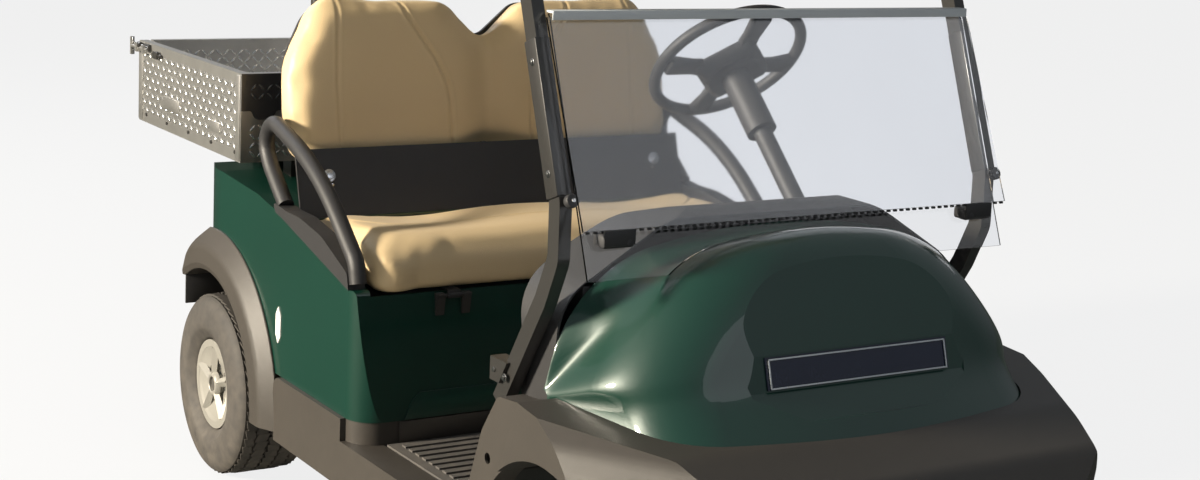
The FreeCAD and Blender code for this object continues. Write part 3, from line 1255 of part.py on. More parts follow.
tieHoles = [rod("tieHole%d" % i, (sx * at("tieDownX") / 2, behind((at("boxFront") + at("boxRear")) / 2)
                                  + sy * at("tieDownY") / 2, 700),
                (sx * at("tieDownX") / 2, behind((at("boxFront") + at("boxRear")) / 2)
                 + sy * at("tieDownY") / 2, 900), "Sizes.tieDownRadius")
            for i, (sx, sy) in enumerate(((-1, -1), (1, -1), (1, 1), (-1, 1)))]
GATE_HINGES = (-400, 0, 400)
tubPieces = [cut("tubShell", tubOuter, tubInner), flangeLeft, flangeRight, flangeFront]
for i, x in enumerate(GATE_HINGES):
    y, z = behind(at("boxRear")) + 10, at("boxBottom") - 8
    tubPieces.append(rod("gatePin%d" % i, (x - 40, y, z), (x + 40, y, z), "4"))
    for k, shift in enumerate((-40, 17)):
        tubPieces.append(rod("tubBarrel%d%d" % (i, k), (x + shift, y, z), (x + shift + 23, y, z), "8"))
        tubPieces.append(prism("tubLeaf%d%d" % (i, k), "side", x + shift, [
            (y - 50, z), (y, z), (y, z + 8), (y - 50, z + 8)], "23"))
for side in (-1, 1):
    x, z = side * (at("boxHalf") + 9), at("boxTop") - 18
    tubPieces.append(rod("boltRod%d" % (side + 1), (x, behind(at("boxRear") - 90), z),
                         (x, behind(at("boxRear") + 38), z), "5"))
    tubPieces.append(prism("boltHandle%d" % (side + 1), "side", x - 5, [
        (behind(at("boxRear") + 30), z - 24), (behind(at("boxRear") + 38), z - 24),
        (behind(at("boxRear") + 38), z + 24), (behind(at("boxRear") + 30), z + 24)], "10"))
    for k, back in enumerate((24, 74)):
        tubPieces.append(box("boltGuide%d%d" % (side + 1, k), "17", "16", "22", "%f" % (x - 8.5 - side * 1.0),
                             "%f" % behind(at("boxRear") - back), "%f" % (z - 11)))
keep("cargo_tub", cut("cargo_tub", fuse("tubBody", *tubPieces), *tieHoles))

frontPlate = prism("cargoFrontPlate", "front", behind(at("boxFront")) - 3.3, [
    (-566, 1028), (-566, 938, 0), (-540, 938, 10), (-530, 916, 18), (-486, 916, 18), (-476, 938, 10), (476, 938, 10),
    (486, 916, 18), (530, 916, 18), (540, 938, 10), (566, 938, 0), (566, 1028)], "3")
keep("cargo_front_plate", frontPlate)

gatePieces = []
gateHalf = at("boxHalf") - at("boxPlate") - at("gateGap")
gate = prism("gatePlate", "side", 0, [
    (behind(at("boxRear")) - 14, at("boxBottom") + 12), (behind(at("boxRear")) - 10, at("boxBottom") + 12),
    (behind(at("boxRear")) - 10, at("boxTop") - 4), (behind(at("boxRear")) + 8, at("boxTop") - 4),
    (behind(at("boxRear")) + 8, at("boxTop")), (behind(at("boxRear")) - 14, at("boxTop"))],
    "%f" % (2 * (gateHalf - at("boxFlange") - 1)), symmetric=True)
gateSheet = box("gateSheet", "%f" % (2 * gateHalf), "4", "%f" % (at("boxTop") - at("boxBottom") - at("boxPlate") - 18),
                "%f" % -gateHalf, "%f" % (behind(at("boxRear")) - 14), "Sizes.boxBottom + Sizes.boxPlate + 8")
hingeY, hingeZ = behind(at("boxRear")) + 10, at("boxBottom") - 8
for i, x in enumerate(GATE_HINGES):
    strap = prism("gateStrap%d" % i, "side", x - 12, ribbon([
        (behind(at("boxRear")) - 12, at("boxBottom") + 16, 0), (hingeY, at("boxBottom") + 16, 5),
        (hingeY, hingeZ, 0)], 6), "24")
    barrel = rod("gateBarrel%d" % i, (x - 12, hingeY, hingeZ), (x + 12, hingeY, hingeZ), "8")
    gatePieces.append(cut("gateKnuckle%d" % i, fuse("gateKnuckleBody%d" % i, strap, barrel),
                          rod("gateBore%d" % i, (x - 14, hingeY, hingeZ), (x + 14, hingeY, hingeZ), "4.05")))
keep("tailgate", fuse("tailgate", gate, gateSheet, *gatePieces))

# Cargo box supports: two channels on the deck and two braces from the rails

supportPieces = []
for i, u in enumerate((1560, 1760)):
    channel = prism("boxChannel%d" % i, "side", 0, [
        (behind(u), at("deckTop") - 20), (behind(u + 50), at("deckTop") - 20),
        (behind(u + 50), at("boxBottom") - at("seatGap")), (behind(u), at("boxBottom") - at("seatGap"))],
        "2 * 420", symmetric=True)
    supportPieces.append(cut("boxBearer%d" % i, channel, podHull("boxDeck%d" % i, -at("seatGap"))))
for side in (-1, 1):
    x = side * at("railOffset")
    brace = prism("boxBrace%d" % (side + 1), "side", x - 15, ribbon([
        (behind(1901), 396.3, 0), (behind(1901), 500, 60), (behind(2125), 800, 0)], 29), "30")
    topPad = prism("boxBracePad%d" % (side + 1), "side", x - 40, [
        (behind(2080), 796), (behind(2190), 796), (behind(2190), at("boxBottom") - 0.3),
        (behind(2080), at("boxBottom") - 0.3)], "80")
    supportPieces.append(fuse("boxBracing%d" % (side + 1), brace, topPad))
supports = doc.addObject("Part::Compound", "cargo_supports")
supports.Links = supportPieces
keep("cargo_supports", supports)

# Side reflectors: flat hexagons on the green sides

def makeReflector():
    y, z = behind(1273), 472
    hexagon = [(y - 14, z - 24), (y, z - 44), (y + 14, z - 24), (y + 14, z + 24), (y, z + 44), (y - 14, z + 24)]
    return prism("reflector", "side", at("bodyHalf") + 0.2, hexagon, "2.5")


keep("side_reflectors", pair("side_reflectors", makeReflector()))

# Every piece is built and checked before any is written

doc.recompute()
failed = [thing.Label for thing in doc.Objects if "Invalid" in thing.State or "Error" in thing.State]
if failed:
    raise RuntimeError("did not build: " + ", ".join(failed))
os.makedirs("parts", exist_ok=True)
for node, thing in parts:
    shape = thing.Shape
    if shape.isNull() or not shape.isValid() or not shape.Solids:
        raise RuntimeError("%s has no valid solid" % node)
for node, thing in parts:
    thing.Shape.exportStep("parts/%s.step" % node)
print("%d pieces written" % len(parts))
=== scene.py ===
import bmesh
import bpy
import json
import math
import numpy as np
from mathutils import Matrix, Vector


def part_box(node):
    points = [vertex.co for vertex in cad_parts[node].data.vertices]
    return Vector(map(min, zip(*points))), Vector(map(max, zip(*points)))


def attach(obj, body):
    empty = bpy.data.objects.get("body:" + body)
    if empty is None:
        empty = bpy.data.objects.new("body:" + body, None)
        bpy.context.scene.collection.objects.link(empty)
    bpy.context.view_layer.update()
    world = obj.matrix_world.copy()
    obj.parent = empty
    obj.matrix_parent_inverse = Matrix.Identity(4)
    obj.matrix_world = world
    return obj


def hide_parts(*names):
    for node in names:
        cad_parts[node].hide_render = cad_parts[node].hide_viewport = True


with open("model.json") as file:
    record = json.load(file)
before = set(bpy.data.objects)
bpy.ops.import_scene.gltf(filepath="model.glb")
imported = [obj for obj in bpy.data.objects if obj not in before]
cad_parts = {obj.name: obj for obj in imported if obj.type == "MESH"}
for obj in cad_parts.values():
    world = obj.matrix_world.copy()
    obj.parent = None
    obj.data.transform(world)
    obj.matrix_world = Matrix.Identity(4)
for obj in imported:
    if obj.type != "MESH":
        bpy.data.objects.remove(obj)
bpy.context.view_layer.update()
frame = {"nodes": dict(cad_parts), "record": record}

frontAxle = -0.950  # y of the front axle


def spot(x, back, z):
    # a place in millimetres: across, behind the front axle, above the ground
    return Vector((x / 1000, frontAxle + back / 1000, z / 1000))


# camera, at the place the picture was taken from

cameraSetup = {
    "place": (-2.3297, -3.8570, 1.6257),
    "yaw": 32.4,
    "pitch": -9.8,
    "roll": 2.8,
    "lens": 59.36,
    "shift": (-0.0071, -0.0503),
    "sensor": 36,
    "clip": (0.05, 200),
}


def makeCamera(setup):
    yaw, pitch, roll = (math.radians(setup[k]) for k in ("yaw", "pitch", "roll"))
    ahead = Vector((math.sin(yaw) * math.cos(pitch), math.cos(yaw) * math.cos(pitch), math.sin(pitch)))
    right = Vector((math.cos(yaw), -math.sin(yaw), 0))
    up = right.cross(ahead)
    turnedRight = right * math.cos(roll) + up * math.sin(roll)
    turnedUp = up * math.cos(roll) - right * math.sin(roll)
    data = bpy.data.cameras.new("photoCamera")
    data.lens = setup["lens"]
    data.sensor_width = setup["sensor"]
    data.shift_x, data.shift_y = setup["shift"]
    data.clip_start, data.clip_end = setup["clip"]
    camera = bpy.data.objects.new("photoCamera", data)
    bpy.context.scene.collection.objects.link(camera)
    axes = Matrix((turnedRight, turnedUp, -ahead)).transposed().to_4x4()
    camera.matrix_world = Matrix.Translation(setup["place"]) @ axes
    bpy.context.scene.camera = camera


makeCamera(cameraSetup)


# short names for building shader trees
def link(tree, a, b):
    tree.links.new(a, b)


def addNode(tree, kind, **values):
    node = tree.nodes.new(kind)
    for key, value in values.items():
        if hasattr(node, key) and key not in node.inputs:
            setattr(node, key, value)
        else:
            node.inputs[key].default_value = value
    return node


def makeGroup(name, inputs, outputs):
    group = bpy.data.node_groups.new(name, "ShaderNodeTree")
    for label, value in inputs:
        socket = group.interface.new_socket(name=label, in_out="INPUT", socket_type="NodeSocketFloat")
        socket.default_value = value
    for label, kind in outputs:
        group.interface.new_socket(name=label, in_out="OUTPUT", socket_type=kind)
    return group, group.nodes.new("NodeGroupInput"), group.nodes.new("NodeGroupOutput")


def placed(tree, group, **values):
    node = tree.nodes.new("ShaderNodeGroup")
    node.node_tree = group
    for key, value in values.items():
        node.inputs[key].default_value = value
    return node


def makeGrainGroup():
    # fine grain of moulded or painted faces: a value, and a normal
    group, given, out = makeGroup(
        "surfaceGrain",
        [("Scale", 600), ("Depth", 0.0002), ("Cells", 0.5)],
        [("Value", "NodeSocketFloat"), ("Normal", "NodeSocketVector")])
    where = group.nodes.new("ShaderNodeTexCoord")
    noise = addNode(group, "ShaderNodeTexNoise", Detail=3)
    cells = addNode(group, "ShaderNodeTexVoronoi")
    mixed = group.nodes.new("ShaderNodeMix")
    bump = addNode(group, "ShaderNodeBump", Strength=1)
    for pattern in (noise, cells):
        link(group, where.outputs["Object"], pattern.inputs["Vector"])
        link(group, given.outputs["Scale"], pattern.inputs["Scale"])
    link(group, given.outputs["Cells"], mixed.inputs["Factor"])
    link(group, noise.outputs["Fac"], mixed.inputs["A"])
    link(group, cells.outputs["Distance"], mixed.inputs["B"])
    link(group, given.outputs["Depth"], bump.inputs["Distance"])
    link(group, mixed.outputs["Result"], bump.inputs["Height"])
    link(group, mixed.outputs["Result"], out.inputs["Value"])
    link(group, bump.outputs["Normal"], out.inputs["Normal"])
    return group


# dust lies thickest low down: heights above the ground, and how much of it stays at each
dustDesign = {"From Min": 0.05, "From Max": 0.75, "To Min": 1.0, "To Max": 0.15}
dustColour = (0.34, 0.29, 0.23, 1)


def makeDriftGroup(dust):
    # slow change of tone over a surface, and a mask for the dust
    group, given, out = makeGroup(
        "toneDrift",
        [("Scale", 4), ("Low", 0.9), ("High", 1.08), ("Dust", 0.1)],
        [("Tone", "NodeSocketFloat"), ("Dust", "NodeSocketFloat")])
    where = group.nodes.new("ShaderNodeTexCoord")
    noise = addNode(group, "ShaderNodeTexNoise", Detail=4)
    speck = addNode(group, "ShaderNodeTexNoise", Scale=38, Detail=5)
    split = group.nodes.new("ShaderNodeSeparateXYZ")
    spread = group.nodes.new("ShaderNodeMapRange")
    height = addNode(group, "ShaderNodeMapRange", **dust)
    timesHeight = addNode(group, "ShaderNodeMath", operation="MULTIPLY")
    timesAmount = addNode(group, "ShaderNodeMath", operation="MULTIPLY")
    for reader in (noise, speck, split):
        link(group, where.outputs["Object"], reader.inputs["Vector"])
    link(group, given.outputs["Scale"], noise.inputs["Scale"])
    link(group, noise.outputs["Fac"], spread.inputs["Value"])
    link(group, given.outputs["Low"], spread.inputs["To Min"])
    link(group, given.outputs["High"], spread.inputs["To Max"])
    link(group, spread.outputs["Result"], out.inputs["Tone"])
    link(group, split.outputs["Z"], height.inputs["Value"])
    link(group, speck.outputs["Fac"], timesHeight.inputs[0])
    link(group, height.outputs["Result"], timesHeight.inputs[1])
    link(group, timesHeight.outputs["Value"], timesAmount.inputs[0])
    link(group, given.outputs["Dust"], timesAmount.inputs[1])
    link(group, timesAmount.outputs["Value"], out.inputs["Dust"])
    return group


grainGroup = makeGrainGroup()
driftGroup = makeDriftGroup(dustDesign)

# sockets of a colour mix
mixSockets = {"share": 0, "first": 6, "second": 7, "result": 2}


def makeMaterial(name, colour, roughness, metallic=0.0, coat=0.0, coatRoughness=0.04, sheen=0.0,
                 grain=(600, 0.0002, 0.5), drift=(4, 0.88, 1.1, 0.1), roughSpread=0.12,
                 transmission=0.0, ior=1.5):
    # grain: scale, depth, share of cells; drift: scale, lowest and highest tone, dust
    material = bpy.data.materials.new(name)
    material.use_nodes = True
    tree = material.node_tree
    shader = tree.nodes["Principled BSDF"]
    for key, value in (("Metallic", metallic), ("Coat Weight", coat), ("Coat Roughness", coatRoughness),
                       ("Sheen Weight", sheen), ("Transmission Weight", transmission), ("IOR", ior)):
        shader.inputs[key].default_value = value
    share, first, second, result = (mixSockets[k] for k in ("share", "first", "second", "result"))
    tones = placed(tree, driftGroup, Scale=drift[0], Low=drift[1], High=drift[2], Dust=drift[3])
    texture = placed(tree, grainGroup, Scale=grain[0], Depth=grain[1], Cells=grain[2])
    toned = addNode(tree, "ShaderNodeMix", data_type="RGBA", blend_type="MULTIPLY")
    toned.inputs[share].default_value = 1
    toned.inputs[first].default_value = (*colour, 1)
    dusty = addNode(tree, "ShaderNodeMix", data_type="RGBA")
    dusty.inputs[second].default_value = dustColour
    rough = tree.nodes.new("ShaderNodeMapRange")
    rough.inputs["To Min"].default_value = max(0.02, roughness - roughSpread / 2)
    rough.inputs["To Max"].default_value = roughness + roughSpread / 2
    link(tree, tones.outputs["Tone"], toned.inputs[second])
    link(tree, toned.outputs[result], dusty.inputs[first])
    link(tree, tones.outputs["Dust"], dusty.inputs[share])
    link(tree, dusty.outputs[result], shader.inputs["Base Color"])
    link(tree, texture.outputs["Value"], rough.inputs["Value"])
    link(tree, rough.outputs["Result"], shader.inputs["Roughness"])
    link(tree, texture.outputs["Normal"], shader.inputs["Normal"])
    return material


print("shader groups ready")

finishes = {
    "green_body": dict(colour=(0.0012, 0.034, 0.022), roughness=0.40, metallic=0.10, coat=0.8,
                       coatRoughness=0.03, grain=(2600, 0.00003, 0.8), drift=(3, 0.88, 1.12, 0.0),
                       roughSpread=0.08),
    "grey_plastic": dict(colour=(0.044, 0.039, 0.034), roughness=0.46, grain=(1100, 0.00022, 0.6),
                         drift=(5, 0.85, 1.12, 0.06)),
    "tyre_rubber": dict(colour=(0.028, 0.027, 0.027), roughness=0.72, grain=(900, 0.0002, 0.3),
                        drift=(9, 0.8, 1.25, 0.30)),
    "wheel_silver": dict(colour=(0.34, 0.33, 0.30), roughness=0.38, metallic=0.30, coat=0.3,
                         grain=(1800, 0.00004, 0.4), drift=(6, 0.93, 1.05, 0.10)),
    "tan_vinyl": dict(colour=(0.66, 0.50, 0.285), roughness=0.42, sheen=0.08, grain=(620, 0.00030, 0.85),
                      drift=(4, 0.95, 1.04, 0.0), roughSpread=0.14),
    "black_steel": dict(colour=(0.027, 0.026, 0.025), roughness=0.34, coat=0.35, grain=(700, 0.00008, 0.2),
                        drift=(5, 0.85, 1.2, 0.03)),
    "tread_plate": dict(colour=(0.66, 0.65, 0.63), roughness=0.40, metallic=0.95, grain=(420, 0.00006, 0.1),
                        drift=(12, 0.78, 1.08, 0.02), roughSpread=0.22),
    "tread_lozenge": dict(colour=(0.82, 0.82, 0.82), roughness=0.22, metallic=0.9, grain=(420, 0.00004, 0.1),
                          drift=(12, 0.85, 1.05, 0.02), roughSpread=0.12),
    # black lozenges and black plate on the upper front of the cargo box: a painted reflection of the seat
    # back's black shell in the polished aluminium
    "black_lozenge": dict(colour=(0.13, 0.13, 0.135), roughness=0.24, metallic=0.7, coat=0.5,
                          grain=(420, 0.00004, 0.1), drift=(12, 0.85, 1.1, 0.02)),
    "black_plate": dict(colour=(0.028, 0.028, 0.030), roughness=0.36, coat=0.3, grain=(500, 0.00008, 0.2),
                        drift=(8, 0.85, 1.3, 0.05)),
    "canopy_beige": dict(colour=(0.76, 0.72, 0.63), roughness=0.35, coat=0.35, grain=(700, 0.00007, 0.3),
                         drift=(2, 0.95, 1.04, 0.0)),
    "mat_rubber": dict(colour=(0.052, 0.052, 0.054), roughness=0.68, grain=(800, 0.0003, 0.6),
                       drift=(7, 0.8, 1.2, 0.4)),
    "reflector_white": dict(colour=(0.84, 0.82, 0.80), roughness=0.22, coat=0.8, grain=(240, 0.0005, 1.0),
                            drift=(8, 0.95, 1.04, 0.0)),
    "battery_grey": dict(colour=(0.10, 0.10, 0.11), roughness=0.55, grain=(900, 0.0002, 0.5)),
    "cast_iron": dict(colour=(0.085, 0.083, 0.08), roughness=0.66, metallic=0.5, grain=(330, 0.0007, 0.3),
                      drift=(9, 0.7, 1.3, 0.25)),
    "motor_aluminium": dict(colour=(0.42, 0.42, 0.43), roughness=0.45, metallic=0.85,
                            grain=(500, 0.0003, 0.2), drift=(8, 0.8, 1.1, 0.15)),
    "bright_steel": dict(colour=(0.60, 0.60, 0.60), roughness=0.24, metallic=1.0, grain=(900, 0.00005, 0.1),
                         drift=(10, 0.85, 1.05, 0.05)),
    "dash_black": dict(colour=(0.026, 0.026, 0.028), roughness=0.52, grain=(1300, 0.0002, 0.6),
                       drift=(5, 0.85, 1.2, 0.05)),
    "plate_navy": dict(colour=(0.010, 0.016, 0.040), roughness=0.20, coat=0.6, grain=(1200, 0.00003, 0.3)),
    "shell_black": dict(colour=(0.022, 0.022, 0.024), roughness=0.50, grain=(1100, 0.0002, 0.6),
                        drift=(5, 0.85, 1.2, 0.08)),
    "strip_pale": dict(colour=(0.50, 0.54, 0.57), roughness=0.30, coat=0.3, grain=(900, 0.00005, 0.3)),
}
materials = {name: makeMaterial(name, **values) for name, values in finishes.items()}
materials["clear_sheet"] = makeMaterial(
    "clear_sheet", (0.90, 0.915, 0.945), 0.03, transmission=1.0, ior=1.46,
    grain=(30, 0.00001, 0.0), drift=(2, 0.97, 1.02, 0.0), roughSpread=0.02)

nodeSlots = {row["node"]: row["material_slot"] for row in frame["record"]["subparts"]}


def dressNode(node, material):
    mesh = frame["nodes"][node].data
    mesh.materials.clear()
    mesh.materials.append(material)


for node in frame["nodes"]:
    dressNode(node, materials[nodeSlots[node]])
print("CAD nodes painted:", len(nodeSlots))


# makers of small pieces
def finishPiece(name, bm, body, finish, sharp=38):
    bmesh.ops.recalc_face_normals(bm, faces=bm.faces)
    mesh = bpy.data.meshes.new(name)
    bm.to_mesh(mesh)
    bm.free()
    mesh.materials.append(materials[finish])
    mesh.shade_smooth()
    mesh.set_sharp_from_angle(angle=math.radians(sharp))
    piece = bpy.data.objects.new(name, mesh)
    bpy.context.scene.collection.objects.link(piece)
    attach(piece, body)
    return piece


def edgesOf(verts):
    return list({edge for vert in verts for edge in vert.link_edges})


def roundEdges(bm, edges, offset, segments=2):
    bmesh.ops.bevel(bm, geom=edges, offset=offset, offset_type="OFFSET", segments=segments, profile=0.5,
                    affect="EDGES", material=-1)


def addBlock(bm, centre, size, bevel=0.0, segments=2, turn=None):
    turned = turn.to_4x4() if turn else Matrix.Identity(4)
    place = Matrix.Translation(centre) @ turned @ Matrix.Diagonal((*size, 1))
    made = bmesh.ops.create_cube(bm, size=1, matrix=place)
    if bevel > 0:
        roundEdges(bm, edgesOf(made["verts"]), bevel, segments)
    return made


def addRod(bm, start, end, radius, sides=24, endRadius=None, bevel=0.0):
    start, end = Vector(start), Vector(end)
    run = end - start
    turn = run.to_track_quat("Z", "Y").to_matrix().to_4x4()
    made = bmesh.ops.create_cone(
        bm, cap_ends=True, segments=sides, radius1=radius, radius2=radius if endRadius is None else endRadius,
        depth=run.length, matrix=Matrix.Translation((start + end) / 2) @ turn)
    if bevel > 0:
        rims = [e for e in edgesOf(made["verts"]) if any(len(f.verts) > 4 for f in e.link_faces)]
        roundEdges(bm, rims, bevel)
    return made


def addSpun(bm, profile, centre, axis, steps=64):
    # the profile is a closed line of (along the axis, radius)
    axis = Vector(axis).normalized()
    side = axis.orthogonal().normalized()
    centre = Vector(centre)
    verts = [bm.verts.new(centre + axis * a + side * r) for a, r in profile]
    edges = [bm.edges.new(pair) for pair in zip(verts, verts[1:] + verts[:1])]
    bmesh.ops.spin(bm, geom=verts + edges, cent=centre, axis=axis, angle=math.tau, steps=steps,
                   use_merge=True)


# a bolt's washer and head, as shares of the head's radius: from, to, radius, corners and bevel
boltDesign = {"washer": (0.0, 0.25, 1.5, 24, 0.08), "head": (0.2, 0.9, 1.0, 6, 0.12)}


def addBolt(bm, place, direction, radius):
    run = Vector(direction).normalized() * radius
    for low, high, wide, corners, bevel in boltDesign.values():
        addRod(bm, place + run * low, place + run * high, radius * wide, corners, bevel=radius * bevel)


def makeTrim(name, finish, sides=(1,), blocks=(), rods=(), slotName=None):
    # fixed pieces, in millimetres; block: centre, size, bevel, segments; rod: ends, radius, corners, bevel
    bm = bmesh.new()
    for side in sides:
        for (x, back, z), size, bevel, *segments in blocks:
            addBlock(bm, spot(side * x, back, z), [s / 1000 for s in size], bevel / 1000, *segments)
        for start, end, radius, corners, bevel in rods:
            start, end = (spot(side * x, back, z) for x, back, z in (start, end))
            addRod(bm, start, end, radius / 1000, corners, bevel=bevel / 1000)
    return finishPiece(name, bm, "chassis", finish, sharp=30)


def ending(corner):
    # front_left gives FrontLeft
    return "".join(word.capitalize() for word in corner.split("_"))


# tyres with ribs between sawtooth grooves; pairs are (out from the middle plane, radius)
tyreDesign = {
    "treadRadius": 0.2275,
    "grooveDepth": 0.0068,
    "sideWall": [(0.080, 0.1135), (0.089, 0.119), (0.0965, 0.133), (0.1015, 0.139), (0.1030, 0.1425),
                 (0.1045, 0.152), (0.1045, 0.171), (0.1035, 0.1745), (0.1035, 0.1785), (0.1015, 0.1900),
                 (0.0985, 0.2020), (0.0940, 0.2120)],
    "shoulder": [(0.0885, 0.0088), (0.0848, 0.0062)],  # the second is how far below the tread
    "grooveEdge": 0.0838,
    "innerCrown": [(0.0, 0.012), (0.085, 0.019)],  # the second is how far below the grooves
    "innerWall": [(0.092, 0.186), (0.093, 0.150), (0.083, 0.128), (0.070, 0.1135)],
    "steps": 96,
    "ribs": (-0.0675, -0.036, 0.0, 0.036, 0.0675),
    "ribWidths": (0.0230, 0.0300, 0.0300, 0.0300, 0.0230),
    "edgeDrop": 0.0022,
    "teeth": 56,
    "toothGap": 0.0005,
    "toothRoot": 0.003,
    "saw": 0.0064,
}


def makeTyre(name, node, body, design):
    low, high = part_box(node)
    centre = (low + high) / 2
    tread = design["treadRadius"]
    base = tread - design["grooveDepth"]
    outer = design["sideWall"] + [(a, tread - below) for a, below in design["shoulder"]]
    outer += [(design["grooveEdge"], base), (0.0, base)]
    inner = [(a, base - below) for a, below in design["innerCrown"]] + design["innerWall"]
    farOuter = [(-a, r) for a, r in outer[-2::-1]]
    farInner = [(-a, r) for a, r in inner[:0:-1]]
    bm = bmesh.new()
    addSpun(bm, outer + farOuter + farInner + inner, centre, (1, 0, 0), steps=design["steps"])
    carcass = finishPiece(name, bm, body, "tyre_rubber", sharp=50)
    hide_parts(node)
    bm = bmesh.new()
    long = math.tau * tread / design["teeth"]
    tall = design["grooveDepth"] + design["toothRoot"]
    lastRow = len(design["ribs"]) - 1
    for row, (offset, width) in enumerate(zip(design["ribs"], design["ribWidths"])):
        odd = row % 2
        drop = design["edgeDrop"] if row in (0, lastRow) else 0
        shear = Matrix.Identity(4)
        shear[0][1] = (1 if odd else -1) * design["saw"] / long
        size = Matrix.Diagonal((width, long - design["toothGap"], tall, 1))
        for tooth in range(design["teeth"]):
            angle = math.tau * (tooth + 0.5 * odd) / design["teeth"]
            place = (Matrix.Translation(centre) @ Matrix.Rotation(angle, 4, "X") @
                     Matrix.Translation((offset, 0, tread - drop - tall / 2)) @ shear @ size)
            bmesh.ops.create_cube(bm, size=1, matrix=place)
    finishPiece(name + "Tread", bm, body, "tyre_rubber", sharp=20)
    return centre


wheels = {}
for corner in ("front_left", "front_right", "rear_left", "rear_right"):
    wheels[corner] = makeTyre("tyre" + ending(corner), "tyre_" + corner, "wheel_" + corner, tyreDesign)
print("tyres made")


# wheel covers; depths are measured inwards from the rim's outer face
coverDesign = {
    "ringDepth": 0.0045,
    # (out along the axle, radius), and steps
    "rings": (([(-0.004, 0.019), (0.0065, 0.019), (0.0080, 0.0215), (0.0070, 0.027), (0.0020, 0.032),
                (-0.004, 0.034)], 48),
              ([(-0.008, 0.098), (0.0015, 0.0985), (0.0030, 0.102), (0.0005, 0.1055), (-0.008, 0.107)], 64)),
    "spokes": 5,
    "spokeTurn": 0.25,
    "spokeDepths": (0.006, 0.010),
    "spokeEnds": (0.026, 0.094),
    "spokeRadii": (0.0095, 0.0145),
    "capDepths": (0.010, 0.004),
    "capRadius": 0.0193,
    "nuts": 5,
    "nutTurn": 0.5,
    "nutCircle": 0.050,
    "nutDepths": (0.040, 0.012),
    "nutRadius": 0.0085,
    "stemAngle": 150,
    "stemCircle": 0.086,
    # from, to, radius and bevel
    "stem": ((0.030, 0.003, 0.0038, 0.0006), (0.010, 0.001, 0.0048, 0.0008)),
    "bevel": 0.001,
}


def makeCoverTrim(corner, centre, design):
    body = "wheel_" + corner
    label = ending(corner)
    low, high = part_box("rim_" + corner)
    out = 1 if centre.x > 0 else -1
    face = high.x if out > 0 else low.x

    def inside(depth, away=0.0, angle=0.0):
        y, z = centre.y + away * math.cos(angle), centre.z + away * math.sin(angle)
        return Vector((face - out * depth, y, z))

    bm = bmesh.new()
    for profile, steps in design["rings"]:
        addSpun(bm, profile, inside(design["ringDepth"]), (out, 0, 0), steps=steps)
    for i in range(design["spokes"]):
        angle = math.tau * (i + design["spokeTurn"]) / design["spokes"]
        ends = (inside(depth, away, angle) for depth, away in zip(design["spokeDepths"], design["spokeEnds"]))
        hubRadius, rimRadius = design["spokeRadii"]
        addRod(bm, *ends, hubRadius, 4, endRadius=rimRadius, bevel=design["bevel"])
    finishPiece("coverSpokes" + label, bm, body, "wheel_silver", sharp=30)
    bm = bmesh.new()
    ends = (inside(depth) for depth in design["capDepths"])
    addRod(bm, *ends, design["capRadius"], 32, bevel=design["bevel"])
    finishPiece("hubCap" + label, bm, body, "cast_iron", sharp=30)
    bm = bmesh.new()
    for i in range(design["nuts"]):
        angle = math.tau * (i + design["nutTurn"]) / design["nuts"]
        ends = (inside(depth, design["nutCircle"], angle) for depth in design["nutDepths"])
        addRod(bm, *ends, design["nutRadius"], 6, bevel=design["bevel"])
    finishPiece("wheelNuts" + label, bm, body, "bright_steel", sharp=30)
    bm = bmesh.new()
    angle = math.radians(design["stemAngle"])
    for deep, shallow, radius, bevel in design["stem"]:
        ends = (inside(depth, design["stemCircle"], angle) for depth in (deep, shallow))
        addRod(bm, *ends, radius, 16, bevel=bevel)
    finishPiece("valve" + label, bm, body, "mat_rubber", sharp=30)


for corner, centre in wheels.items():
    makeCoverTrim(corner, centre, coverDesign)
print("wheel covers dressed")


# soft pieces: a copy of the plain solid, remeshed, filled as cloth under pressure, then subdivided
def livePoints(mesh):
    flat = np.empty(len(mesh.vertices) * 3, np.float32)
    mesh.vertices.foreach_get("co", flat)
    return flat.reshape(-1, 3).astype(float)


def movePoints(mesh, places):
    mesh.vertices.foreach_set("co", places.astype(np.float32).ravel())
    mesh.update()


def applied(piece):
    bpy.context.view_layer.update()
    mesh = bpy.data.meshes.new_from_object(piece.evaluated_get(bpy.context.evaluated_depsgraph_get()))
    piece.modifiers.clear()
    piece.data = mesh
    return mesh


def lineDistance(flat, line):
    # how far points on a plane are from a run of straight pieces
    best = np.full(len(flat), 9.0)
    for a, b in zip(np.array(line[:-1]), np.array(line[1:])):
        run = b - a
        along = np.clip(((flat - a) @ run) / (run @ run), 0, 1)
        best = np.minimum(best, np.linalg.norm(flat - a - along[:, None] * run, axis=1))
    return best


# lengths in metres: how plain a cushion starts, how its cloth is set, and how its seams are pressed in
softDesign = {
    "weld": 0.00005,
    "sideMargin": 0.011,
    "faceMargin": 0.013,
    "restMargin": 0.002,
    "clothQuality": 4,
    "clothMass": 0.3,
    "frames": 20,
    "smoothing": 0.5,
    "smoothings": 26,
    "proud": 0.001,
    "weltShare": 0.25,
    "weltAway": 2.2,
}


def fillCloth(piece, pressure, cap):
    # no point moves further than the cap
    rest = livePoints(piece.data)
    cloth = piece.modifiers.new("filling", "CLOTH")
    cloth.settings.quality = softDesign["clothQuality"]
    cloth.settings.mass = softDesign["clothMass"]
    cloth.settings.use_pressure = True
    cloth.settings.uniform_pressure_force = pressure
    cloth.settings.effector_weights.gravity = 0
    cloth.point_cache.frame_start, cloth.point_cache.frame_end = 1, softDesign["frames"]
    for step in range(1, softDesign["frames"] + 1):
        bpy.context.scene.frame_set(step)
    moved = livePoints(applied(piece)) - rest
    far = np.linalg.norm(moved, axis=1)
    moved *= np.minimum(1, cap / np.maximum(far, 1e-9))[:, None]
    movePoints(piece.data, rest + moved)
    bpy.context.scene.frame_set(1)


